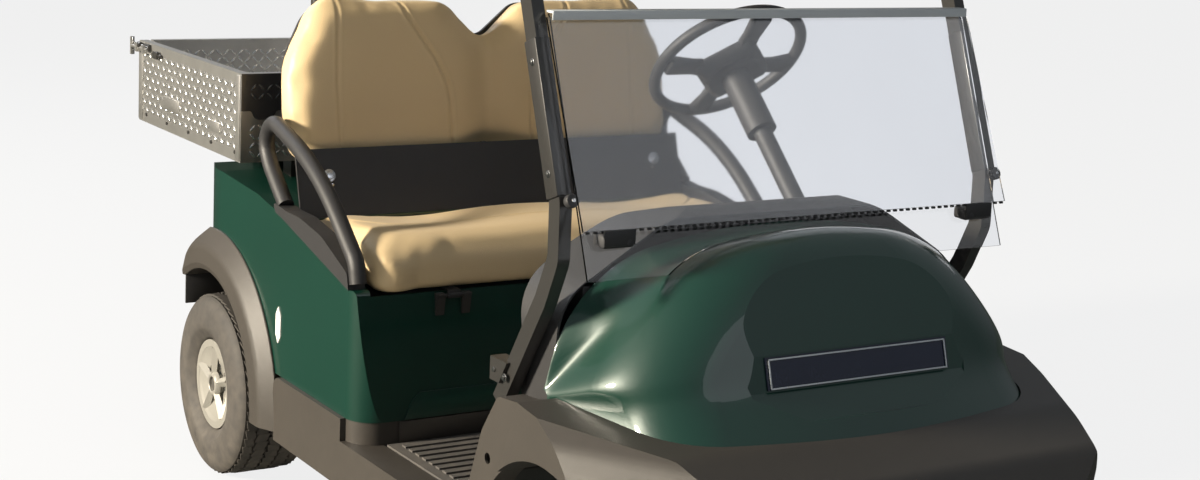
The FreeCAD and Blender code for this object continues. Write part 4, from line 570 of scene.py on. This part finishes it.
def fitWithin(places, axis, low, high):
    # stretches places along an axis so that they span low to high
    along = places @ axis
    share = (high - low) / (along.max() - along.min())
    wanted = low + (along - along.min()) * share
    return places + (wanted - along)[:, None] * axis


def makeCushion(name, node, body, foot, inward, thickness, cap, voxel, pressure, seams, hollows):
    inward = np.array(Vector(inward).normalized())
    across = np.array((1.0, 0, 0))
    acrossUp = np.cross((1, 0, 0), inward)
    foot = np.array(foot)
    bm = bmesh.new()
    bm.from_mesh(frame["nodes"][node].data)
    bmesh.ops.remove_doubles(bm, verts=bm.verts, dist=softDesign["weld"])
    mesh = bpy.data.meshes.new(name)
    bm.to_mesh(mesh)
    bm.free()
    places = livePoints(mesh) - foot
    spans = [(axis, (places @ axis).min(), (places @ axis).max()) for axis in (across, acrossUp)]
    for axis, low, high in spans:
        places = fitWithin(places, axis, low + softDesign["sideMargin"], high - softDesign["sideMargin"])
    places = fitWithin(places, inward, softDesign["faceMargin"], thickness - softDesign["restMargin"])
    movePoints(mesh, places + foot)
    piece = bpy.data.objects.new(name, mesh)
    bpy.context.scene.collection.objects.link(piece)
    remesh = piece.modifiers.new("even", "REMESH")
    remesh.mode = "VOXEL"
    remesh.voxel_size = voxel
    applied(piece)
    fillCloth(piece, pressure, cap)
    taut = piece.modifiers.new("taut", "SMOOTH")
    taut.factor, taut.iterations = softDesign["smoothing"], softDesign["smoothings"]
    applied(piece)
    places = livePoints(piece.data) - foot
    depth = places @ inward
    places += (np.minimum(depth, thickness) - depth)[:, None] * inward  # flat where it rests
    for axis, low, high in spans:
        places = fitWithin(places, axis, low, high)
    places = fitWithin(places, inward, -softDesign["proud"], thickness)
    movePoints(piece.data, places + foot)
    finer = piece.modifiers.new("finer", "SUBSURF")
    finer.levels = finer.render_levels = 1
    mesh = applied(piece)
    places = livePoints(mesh) - foot
    facing = np.empty(len(mesh.vertices) * 3, np.float32)
    mesh.vertices.foreach_get("normal", facing)
    facing = np.clip(-(facing.reshape(-1, 3) @ inward), 0, 1)
    flat = np.stack((np.abs(places[:, 0]), places @ acrossUp), axis=1)
    sink = np.zeros(len(places))
    for line, deep, width in seams:
        near = lineDistance(flat, line)
        welt = np.exp(-((near - softDesign["weltAway"] * width) / width) ** 2)
        sink += deep * np.exp(-(near / width) ** 2) - softDesign["weltShare"] * deep * welt
    for x, up, wide, tall, deep in hollows:
        sink += deep * np.exp(-((flat[:, 0] - x) / wide) ** 2 - ((flat[:, 1] - up) / tall) ** 2)
    places += (sink * np.sqrt(facing))[:, None] * inward
    movePoints(mesh, places + foot)
    mesh.materials.clear()
    mesh.materials.append(materials["tan_vinyl"])
    mesh.shade_smooth()
    mesh.name = name
    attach(piece, body)
    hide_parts(node)
    print(name, "made of", len(mesh.polygons), "faces")
    return piece


# in metres; seam: line of (out from the middle, up or back along the face), depth, width
# hollow: place out and up, half width, half height, depth
cushionDesigns = {
    "backCushion": dict(
        node="seat_back", body="chassis", foot=tuple(spot(0, 1296, 840)),
        inward=(0, math.cos(math.radians(8)), -math.sin(math.radians(8))), thickness=0.088,
        cap=0.024, voxel=0.007, pressure=4,
        seams=[([(0.237, 0.402), (0.222, 0.352), (0.201, 0.318), (0.176, 0.283), (0.151, 0.250),
                 (0.128, 0.205), (0.117, 0.174), (0.112, 0.140), (0.111, 0.080), (0.113, -0.02)],
                0.0040, 0.0042),
               ([(0.398, 0.420), (0.402, 0.330), (0.407, 0.20), (0.405, 0.08), (0.400, -0.02)],
                0.0022, 0.0040)],
        hollows=[(0.0, 0.22, 0.050, 0.30, 0.026), (0.0, 0.02, 0.06, 0.06, 0.014),
                 (0.27, 0.17, 0.13, 0.15, 0.006)]),
    "seatCushion": dict(
        node="seat_bottom", body="seat", foot=tuple(spot(0, 852, 750)),
        inward=(0, 0, -1), thickness=0.1187, cap=0.024, voxel=0.007, pressure=4,
        seams=[([(0.500, 0.39), (0.478, 0.280), (0.440, 0.225), (0.405, 0.195), (0.34, 0.186), (0.0, 0.186)],
                0.0022, 0.0042)],
        hollows=[(0.285, 0.30, 0.150, 0.150, 0.016)]),
}

for name, values in cushionDesigns.items():
    makeCushion(name, **values)


# flat plates cut to an outline and given a thickness
def addPlate(bm, outline, thickness, bevel=0.0):
    corners = [bm.verts.new(corner) for corner in outline]
    face = bm.faces.new(corners)
    grown = bmesh.ops.extrude_face_region(bm, geom=[face])
    raised = [g for g in grown["geom"] if isinstance(g, bmesh.types.BMVert)]
    bmesh.ops.translate(bm, verts=raised, vec=Vector(thickness))
    if bevel > 0:
        roundEdges(bm, edgesOf(corners + raised), bevel)


def repeated(piece, steps):
    # each step is (offset, count)
    for offset, count in steps:
        many = piece.modifiers.new("row", "ARRAY")
        many.use_relative_offset = False
        many.use_constant_offset = True
        many.constant_offset_displace = offset
        many.count = count
    applied(piece)
    return piece


# raised lozenges on the cargo box, four to a cell and crossed; the pitch is in millimetres
lozengeDesign = {
    "pitch": 21,
    "long": 0.0225,
    "wide": 0.0065,
    "high": 0.0016,
    "buried": 0.0002,
    "sides": (8, 4),
}

alongX, alongY, alongZ = (1, 0, 0), (0, 1, 0), (0, 0, 1)

# face: a corner in millimetres, two directions along it with their lengths, outward direction, finish, body
lozengeFaces = {
    "sideRight": ((-566, 1532, 822), (alongY, 728), (alongZ, 200), (-1, 0, 0), "tread_lozenge", "chassis"),
    "sideLeft": ((566, 1532, 822), (alongY, 728), (alongZ, 200), (1, 0, 0), "tread_lozenge", "chassis"),
    "insideRight": ((-562, 1534, 822), (alongY, 700), (alongZ, 196), (1, 0, 0), "tread_lozenge", "chassis"),
    "insideLeft": ((562, 1534, 822), (alongY, 700), (alongZ, 196), (-1, 0, 0), "tread_lozenge", "chassis"),
    "insideFront": ((-556, 1532, 822), (alongX, 1112), (alongZ, 196), (0, 1, 0), "tread_lozenge", "chassis"),
    "frontLow": ((-562, 1528, 816), (alongX, 1124), (alongZ, 96), (0, -1, 0), "tread_lozenge", "chassis"),
    "bedFloor": ((-552, 1536, 816), (alongX, 1104), (alongY, 690), (0, 0, 1), "tread_lozenge", "chassis"),
    "gateOutside": ((-540, 2252, 806), (alongX, 1080), (alongZ, 210), (0, 1, 0), "tread_lozenge", "gate"),
    "gateInside": ((-546, 2248, 824), (alongX, 1092), (alongZ, 190), (0, -1, 0), "tread_lozenge", "gate"),
    # upper band of the box's front: its black finish is a painted reflection of the seat back's black shell
    # in the polished aluminium
    "frontPlate": ((-560, 1524.7, 944), (alongX, 1120), (alongZ, 80), (0, -1, 0), "black_lozenge", "chassis"),
}


def makeLozenges(name, corner, first, second, outward, finish, body, design):
    pitch = design["pitch"] / 1000
    cell = 2 * design["pitch"]
    a, b, out = Vector(first[0]), Vector(second[0]), Vector(outward)
    across, up = int(first[1] // cell), int(second[1] // cell)
    spare = (a * (first[1] - across * cell) + b * (second[1] - up * cell)) / 1000
    start = spot(*corner) + spare / 2
    around, along = design["sides"]
    bm = bmesh.new()
    for i in range(2):
        for k in range(2):
            turned = (a + b if (i + k) % 2 else a - b).normalized()
            side = out.cross(turned)
            centre = start + (a * (i + 0.5) + b * (k + 0.5)) * pitch
            axes = Matrix((turned * design["long"], side * design["wide"], out * design["high"] * 2))
            place = Matrix.Translation(centre) @ axes.transposed().to_4x4()
            bmesh.ops.create_uvsphere(bm, u_segments=around, v_segments=along, radius=0.5, matrix=place)
    hidden = [v for v in bm.verts if (v.co - spot(*corner)).dot(out) < -design["buried"]]
    bmesh.ops.delete(bm, geom=hidden, context="VERTS")
    piece = finishPiece(name, bm, body, finish, sharp=60)
    repeated(piece, [(a * 2 * pitch, across), (b * 2 * pitch, up)])
    return piece


for name, row in lozengeFaces.items():
    makeLozenges("lozenges" + name[0].upper() + name[1:], *row, lozengeDesign)
print("tread plate made")


# what is fixed to the cargo box: pads, rivets and stops along the flanges, and pins
boxTrim = {
    "boxPads": dict(
        finish="tread_plate",
        blocks=[((567.6, 2006, 886), (3.4, 124, 34), 1), ((567.6, 1694, 876), (3.4, 66, 26), 1),
                ((567.2, 2245, 920), (3, 30, 206), 0.8), ((567.2, 1543, 920), (3, 24, 206), 0.8)]),
    "boxFasteners": dict(
        finish="black_steel",
        blocks=[((573, 2110, 1004), (12, 34, 20), 3), ((571, 2188, 1016), (10, 44, 18), 3)],
        rods=[((571, 2078, 1004), (571, 2142, 1004), 4.5, 16, 1),
              ((573.5, 2228, 1017), (573.5, 2250, 1017), 8.5, 20, 2),
              *(((565, y, 834), (569.4, y, 834), 5, 12, 1) for y in (1560, 1720, 1880, 2040, 2200))]),
    "boxPins": dict(
        finish="bright_steel",
        rods=[((573.5, 2170, 1017), (573.5, 2294, 1017), 3.8, 16, 0.8),
              ((573.5, 2294, 1000), (573.5, 2294, 1034), 3.6, 16, 0.8)]),
}

for name, values in boxTrim.items():
    makeTrim(name, sides=(-1, 1), **values)


# front struts: the sleeve that holds the windshield, its knob, and screws; x, back and z are in millimetres
strutDesign = {
    "slope": 0.38,
    "lineBack": 117,
    "lineZ": 970,
    "sleeveX": 512.6,
    "lowZ": 978,
    "highZ": 1255,
    "wide": 0.0315,
    "deep": 0.0415,
    "sleeveBevel": 0.0022,
    "knobFoot": (510, 97, 973),
    # along the knob: from, to, radius, corners and bevel
    "knobRods": ((0, 0.010, 0.0075, 20, 0.001), (0.008, 0.024, 0.0130, 20, 0.003)),
    "knobNut": (0.022, 0.0265, 0.0045, 6, 0.0006),
    "footScrews": ((530.5, 262, 606), (530.5, 300, 613)),
    "footRadius": 0.0055,
    "screwX": 528.2,
    "screwZ": (1020, 1215),
    "screwRadius": 0.0050,
}


def makeStrutTrim(side, design):
    label = "Left" if side > 0 else "Right"
    slope = design["slope"]
    lean = Matrix.Rotation(-math.atan(slope), 3, "X")
    ahead = lean @ Vector((0, -1, 0))

    def onStrut(x, z):
        return spot(side * x, design["lineBack"] + slope * (z - design["lineZ"]), z)

    def addKnobRod(low, high, radius, corners, bevel):
        x, back, z = design["knobFoot"]
        foot = spot(side * x, back, z)
        addRod(bm, foot + ahead * low, foot + ahead * high, radius, corners, bevel=bevel)

    long = (design["highZ"] - design["lowZ"]) / 1000 * math.sqrt(1 + slope ** 2)
    centre = onStrut(design["sleeveX"], (design["lowZ"] + design["highZ"]) / 2)
    bm = bmesh.new()
    addBlock(bm, centre, (design["wide"], design["deep"], long), bevel=design["sleeveBevel"], turn=lean)
    finishPiece("strutSleeve" + label, bm, "chassis", "black_steel", sharp=30)
    bm = bmesh.new()
    for row in design["knobRods"]:
        addKnobRod(*row)
    finishPiece("strutKnob" + label, bm, "chassis", "dash_black", sharp=30)
    bm = bmesh.new()
    addKnobRod(*design["knobNut"])
    for x, back, z in design["footScrews"]:
        addBolt(bm, spot(side * x, back, z), (side, 0, 0), design["footRadius"])
    for z in design["screwZ"]:
        addBolt(bm, onStrut(design["screwX"], z), (side, 0, 0), design["screwRadius"])
    finishPiece("strutBolts" + label, bm, "chassis", "bright_steel", sharp=30)


for side in (-1, 1):
    makeStrutTrim(side, strutDesign)
print("struts dressed")


# windshield: pale hinge strip, rubber clips and the toothed lower edge of the folded pane
hingeStrip = dict(
    finish="strip_pale", slotName="clear_sheet",
    blocks=[((0, 204, 1308), (1000, 26, 5.5), 1.6), ((0, 192.6, 1301.5), (1000, 2.8, 16), 1)])
paneClips = dict(
    finish="dash_black", sides=(-1, 1),
    blocks=[((432, 56, 908), (68, 40, 26), 6, 3), ((432, 36.6, 915), (68, 6, 30), 2)],
    rods=[((412, 40, 905), (412, 32.5, 905), 6.5, 20, 1)])
paneTeeth = dict(finish="dash_black", blocks=[((-498, 41.6, 926.4), (8.5, 4.4, 4.2), 0.7)])
teethRow = {"step": (0.0166, 0, 0), "count": 61}

strip = makeTrim("hingeStrip", **hingeStrip)
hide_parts("windshield_clips")
makeTrim("paneClips", **paneClips)
repeated(makeTrim("paneTeeth", **paneTeeth), [(teethRow["step"], teethRow["count"])])
print("windshield dressed")


# the pod's front: a place low on it and its slope
podFront = {"back": 834.4, "z": 352, "slope": 36 / 285}


def onPod(x, z):
    return spot(x, podFront["back"] + (z - podFront["z"]) * podFront["slope"], z)


# seat surroundings: bolts and screws of the black panel, raised panel on the pod's front, kick band's step
panelBolts = {"place": (450, 1267.5, 820), "direction": (0, -1, 0.35), "radius": 0.0105}
panelScrews = dict(
    finish="bright_steel", sides=(-1, 1),
    rods=[((x, 1258, z), (x, 1243.1 + (z - 722) * 0.29, z), 4, 12, 0.8)
          for x, z in ((444, 800), (423, 776), (397, 760))])
podPanel = {
    "line": ((-455, 353), (-431, 396), (-414, 410), (414, 410), (431, 396), (455, 353)),
    "thickness": 0.0044,
    "bevel": 0.0012,
}
kickStep = dict(finish="grey_plastic", blocks=[((0, 834, 327), (930, 6, 47), 1.2)])


def makePodTrim(bolts, panel):
    bm = bmesh.new()
    x, back, z = bolts["place"]
    for side in (-1, 1):
        addBolt(bm, spot(side * x, back, z), bolts["direction"], bolts["radius"])
    finishPiece("panelBolts", bm, "chassis", "bright_steel", sharp=30)
    bm = bmesh.new()
    corners = [onPod(*corner) for corner in panel["line"]]
    addPlate(bm, corners, (0, -panel["thickness"], 0), bevel=panel["bevel"])
    finishPiece("podPanel", bm, "chassis", "green_body", sharp=30)


makePodTrim(panelBolts, podPanel)
makeTrim("panelScrews", **panelScrews)
makeTrim("kickStep", **kickStep)

# dark end walls under the tails of the rear arches
archEnds = dict(finish="shell_black", sides=(-1, 1), blocks=[((517, 1824, 441), (146, 5, 80), 1.5)])
makeTrim("archEnds", **archEnds)


# bare name plate: a pale border on the cowl's plate
plateDesign = {
    "centre": (0, -139.9, 681.8),
    "slope": 19 / 64,
    "proud": 0.0026,
    # from the centre along the plate, and size
    "bars": (((0.2085, 0, 0), (0.0030, 0.0020, 0.0560)), ((0, 0, 0.0265), (0.4200, 0.0020, 0.0030))),
    "bevel": 0.0005,
}


def makePlateTrim(design):
    lean = Matrix.Rotation(-math.atan(design["slope"]), 3, "X")
    middle = spot(*design["centre"]) + lean @ Vector((0, -design["proud"], 0))
    bm = bmesh.new()
    for side in (-1, 1):
        for offset, size in design["bars"]:
            addBlock(bm, middle + lean @ (Vector(offset) * side), size, bevel=design["bevel"], turn=lean)
    finishPiece("plateBorder", bm, "chassis", "strip_pale", sharp=30)


makePlateTrim(plateDesign)


# steering wheel: pad on the hub, and a tapered hub with four broad spokes; down is along the column
handwheelDesign = {
    "centre": (262, 704, 1142),
    "axis": (0, 0.7193, 0.6947),
    # (along the column, radius)
    "pad": [(-0.004, 0.001), (0.0125, 0.001), (0.0120, 0.022), (0.0095, 0.040), (0.0045, 0.053),
            (-0.004, 0.058)],
    "padDown": 0.010,
    "hubDown": (0.0435, 0.008),
    "hubRadii": (0.086, 0.112),
    "hubBevel": 0.012,
    "spokeAway": 0.124,
    "spokeDown": 0.013,
    "spokeSize": (0.090, 0.043, 0.017),
    "spokeBevel": 0.006,
}


def makeWheelTrim(design):
    axis = Vector(design["axis"])
    centre = spot(*design["centre"])
    bm = bmesh.new()
    addSpun(bm, design["pad"], centre - axis * design["padDown"], axis, steps=48)
    finishPiece("wheelPad", bm, "handwheel", "dash_black", sharp=35)
    bm = bmesh.new()
    lowRadius, highRadius = design["hubRadii"]
    ends = (centre - axis * down for down in design["hubDown"])
    made = addRod(bm, *ends, lowRadius, 4, endRadius=highRadius)
    roundEdges(bm, edgesOf(made["verts"]), design["hubBevel"], 3)
    for toward in (Vector((1, 0, 0)), axis.cross((1, 0, 0))):
        for away in (toward, -toward):
            turn = Matrix((away, axis.cross(away), axis)).transposed()
            place = centre + away * design["spokeAway"] - axis * design["spokeDown"]
            addBlock(bm, place, design["spokeSize"], bevel=design["spokeBevel"], segments=3, turn=turn)
    finishPiece("wheelSpokes", bm, "handwheel", "dash_black", sharp=35)


makeWheelTrim(handwheelDesign)
print("pod, plate and steering wheel dressed")


# controls: key switch on the dash, direction selector on the pod, ribs of the pedals
keyBezel = dict(finish="bright_steel", rods=[((130, 308, 848), (130, 314.5, 848), 15, 32, 1.5)])
pedalRibs = dict(
    finish="mat_rubber",
    blocks=[((x, back, z), (46, 5, 4.5), 1) for x in (165, 285) for z, back in
            ((374, 431.4), (386, 431.4), (398, 431.4), (410, 430.8), (422, 429.6), (434, 427.0))])
controlDesign = {
    "keyRod": ((130, 314, 848), (130, 317.5, 848)),
    "keyRadius": 0.0095,
    "keyBow": (130, 324, 848),
    "keyBowSize": (0.0030, 0.0150, 0.0200),
    "selector": (62, 470),
    "selectorProud": 0.0044,
    "plateOut": 0.003,
    "plateSize": (0.084, 0.006, 0.072),
    "knobOut": 0.011,
    "knobSize": (0.030, 0.016, 0.046),
}


def makeControls(design):
    lean = Matrix.Rotation(-math.atan(podFront["slope"]), 3, "X")
    out = lean @ Vector((0, -1, 0))
    face = onPod(*design["selector"]) + out * design["selectorProud"]
    bm = bmesh.new()
    addRod(bm, *(spot(*end) for end in design["keyRod"]), design["keyRadius"], 24, bevel=0.001)
    addBlock(bm, spot(*design["keyBow"]), design["keyBowSize"], bevel=0.0008)
    addBlock(bm, face + out * design["plateOut"], design["plateSize"], bevel=0.002, turn=lean)
    finishPiece("controlPlates", bm, "chassis", "dash_black", sharp=30)
    bm = bmesh.new()
    addBlock(bm, face + out * design["knobOut"], design["knobSize"], bevel=0.004, segments=3, turn=lean)
    finishPiece("selectorKnob", bm, "chassis", "battery_grey", sharp=30)


makeTrim("keyBezel", **keyBezel)
makeControls(controlDesign)
makeTrim("pedalRibs", **pedalRibs)
print("controls made")


# floor: a glow lightens what the camera sees of it, and shiny sides mirror a darker ground
floorDesign = {
    "size": 40,
    "colour": (0.47, 0.47, 0.46, 1),
    "roughness": 0.9,
    "glowShare": 0.84,
    "mirrored": (0.9, 1.0, 0.85, 1),
    "mirroredStrength": 0.07,
}


def makeFloor(design):
    bm = bmesh.new()
    bmesh.ops.create_grid(bm, x_segments=2, y_segments=2, size=design["size"])
    mesh = bpy.data.meshes.new("floor")
    bm.to_mesh(mesh)
    bm.free()
    floor = bpy.data.objects.new("floor", mesh)
    bpy.context.scene.collection.objects.link(floor)
    material = bpy.data.materials.new("floorPale")
    material.use_nodes = True
    tree = material.node_tree
    shader = tree.nodes["Principled BSDF"]
    shader.inputs["Base Color"].default_value = design["colour"]
    shader.inputs["Roughness"].default_value = design["roughness"]
    glow = addNode(tree, "ShaderNodeEmission", Color=(1, 1, 1, 1), Strength=1.0)
    path = tree.nodes.new("ShaderNodeLightPath")
    either = addNode(tree, "ShaderNodeMath", operation="MAXIMUM")
    some = addNode(tree, "ShaderNodeMath", operation="MULTIPLY")
    some.inputs[1].default_value = design["glowShare"]
    mixed = tree.nodes.new("ShaderNodeMixShader")
    ground = addNode(tree, "ShaderNodeEmission", Color=design["mirrored"],
                     Strength=design["mirroredStrength"])
    mirrored = tree.nodes.new("ShaderNodeMixShader")
    notThrough = addNode(tree, "ShaderNodeMath", operation="SUBTRACT", use_clamp=True)
    out = tree.nodes["Material Output"]
    link(tree, path.outputs["Is Camera Ray"], either.inputs[0])
    link(tree, path.outputs["Is Transmission Ray"], either.inputs[1])
    link(tree, either.outputs["Value"], some.inputs[0])
    link(tree, some.outputs["Value"], mixed.inputs["Fac"])
    link(tree, shader.outputs["BSDF"], mixed.inputs[1])
    link(tree, glow.outputs["Emission"], mixed.inputs[2])
    # glossy rays, unless they have come through the windshield
    link(tree, path.outputs["Is Glossy Ray"], notThrough.inputs[0])
    link(tree, path.outputs["Is Transmission Ray"], notThrough.inputs[1])
    link(tree, notThrough.outputs["Value"], mirrored.inputs["Fac"])
    link(tree, mixed.outputs["Shader"], mirrored.inputs[1])
    link(tree, ground.outputs["Emission"], mirrored.inputs[2])
    link(tree, mirrored.outputs["Shader"], out.inputs["Surface"])
    mesh.materials.append(material)


# the sky, and its brightness from the low to the high part
skyDesign = {
    "strength": 0.31,
    "stops": ((0.46, (0.20, 0.205, 0.22, 1)), (0.75, (0.88, 0.94, 1.0, 1))),
}


def makeWorld(design):
    world = bpy.data.worlds.new("softSky")
    bpy.context.scene.world = world
    world.use_nodes = True
    tree = world.node_tree
    tree.nodes.clear()
    out = tree.nodes.new("ShaderNodeOutputWorld")
    sky = addNode(tree, "ShaderNodeBackground", Strength=design["strength"])
    where = tree.nodes.new("ShaderNodeTexCoord")
    split = tree.nodes.new("ShaderNodeSeparateXYZ")
    ramp = tree.nodes.new("ShaderNodeValToRGB")
    for element, (place, colour) in zip(ramp.color_ramp.elements, design["stops"]):
        element.position = place
        element.color = colour
    spread = tree.nodes.new("ShaderNodeMapRange")
    spread.inputs["From Min"].default_value = -1
    white = addNode(tree, "ShaderNodeBackground", Color=(1, 1, 1, 1), Strength=1.0)
    path = tree.nodes.new("ShaderNodeLightPath")
    either = addNode(tree, "ShaderNodeMath", operation="MAXIMUM")
    mixed = tree.nodes.new("ShaderNodeMixShader")
    link(tree, where.outputs["Generated"], split.inputs["Vector"])
    link(tree, split.outputs["Z"], spread.inputs["Value"])
    link(tree, spread.outputs["Result"], ramp.inputs["Fac"])
    link(tree, ramp.outputs["Color"], sky.inputs["Color"])
    link(tree, path.outputs["Is Camera Ray"], either.inputs[0])
    link(tree, path.outputs["Is Transmission Ray"], either.inputs[1])
    link(tree, either.outputs["Value"], mixed.inputs["Fac"])
    link(tree, sky.outputs["Background"], mixed.inputs[1])
    link(tree, white.outputs["Background"], mixed.inputs[2])
    link(tree, mixed.outputs["Shader"], out.inputs["Surface"])


lamps = {
    "key": dict(place=(-8.3, 1.3, 3.3), aim=(0, 0, 0.8), size=1.3, power=1950, colour=(1.0, 0.90, 0.74)),
    "fill": dict(place=(1.5, -8.0, 3.5), aim=(0, 0, 0.6), size=4.0, power=36, colour=(0.90, 0.94, 1.0)),
    "back": dict(place=(-1.5, 6.5, 5.0), aim=(0, 0, 0.8), size=3.5, power=120, colour=(0.95, 0.97, 1.0)),
}


def makeLamp(name, place, aim, size, power, colour):
    data = bpy.data.lights.new(name, "AREA")
    data.shape = "DISK"
    data.size = size
    data.energy = power
    data.color = colour
    lamp = bpy.data.objects.new(name, data)
    bpy.context.scene.collection.objects.link(lamp)
    lamp.location = place
    lamp.rotation_euler = (Vector(aim) - Vector(place)).to_track_quat("-Z", "Y").to_euler()


makeFloor(floorDesign)
makeWorld(skyDesign)
for name, values in lamps.items():
    makeLamp(name, **values)
bpy.context.scene.view_settings.view_transform = "Standard"
print("stage ready")
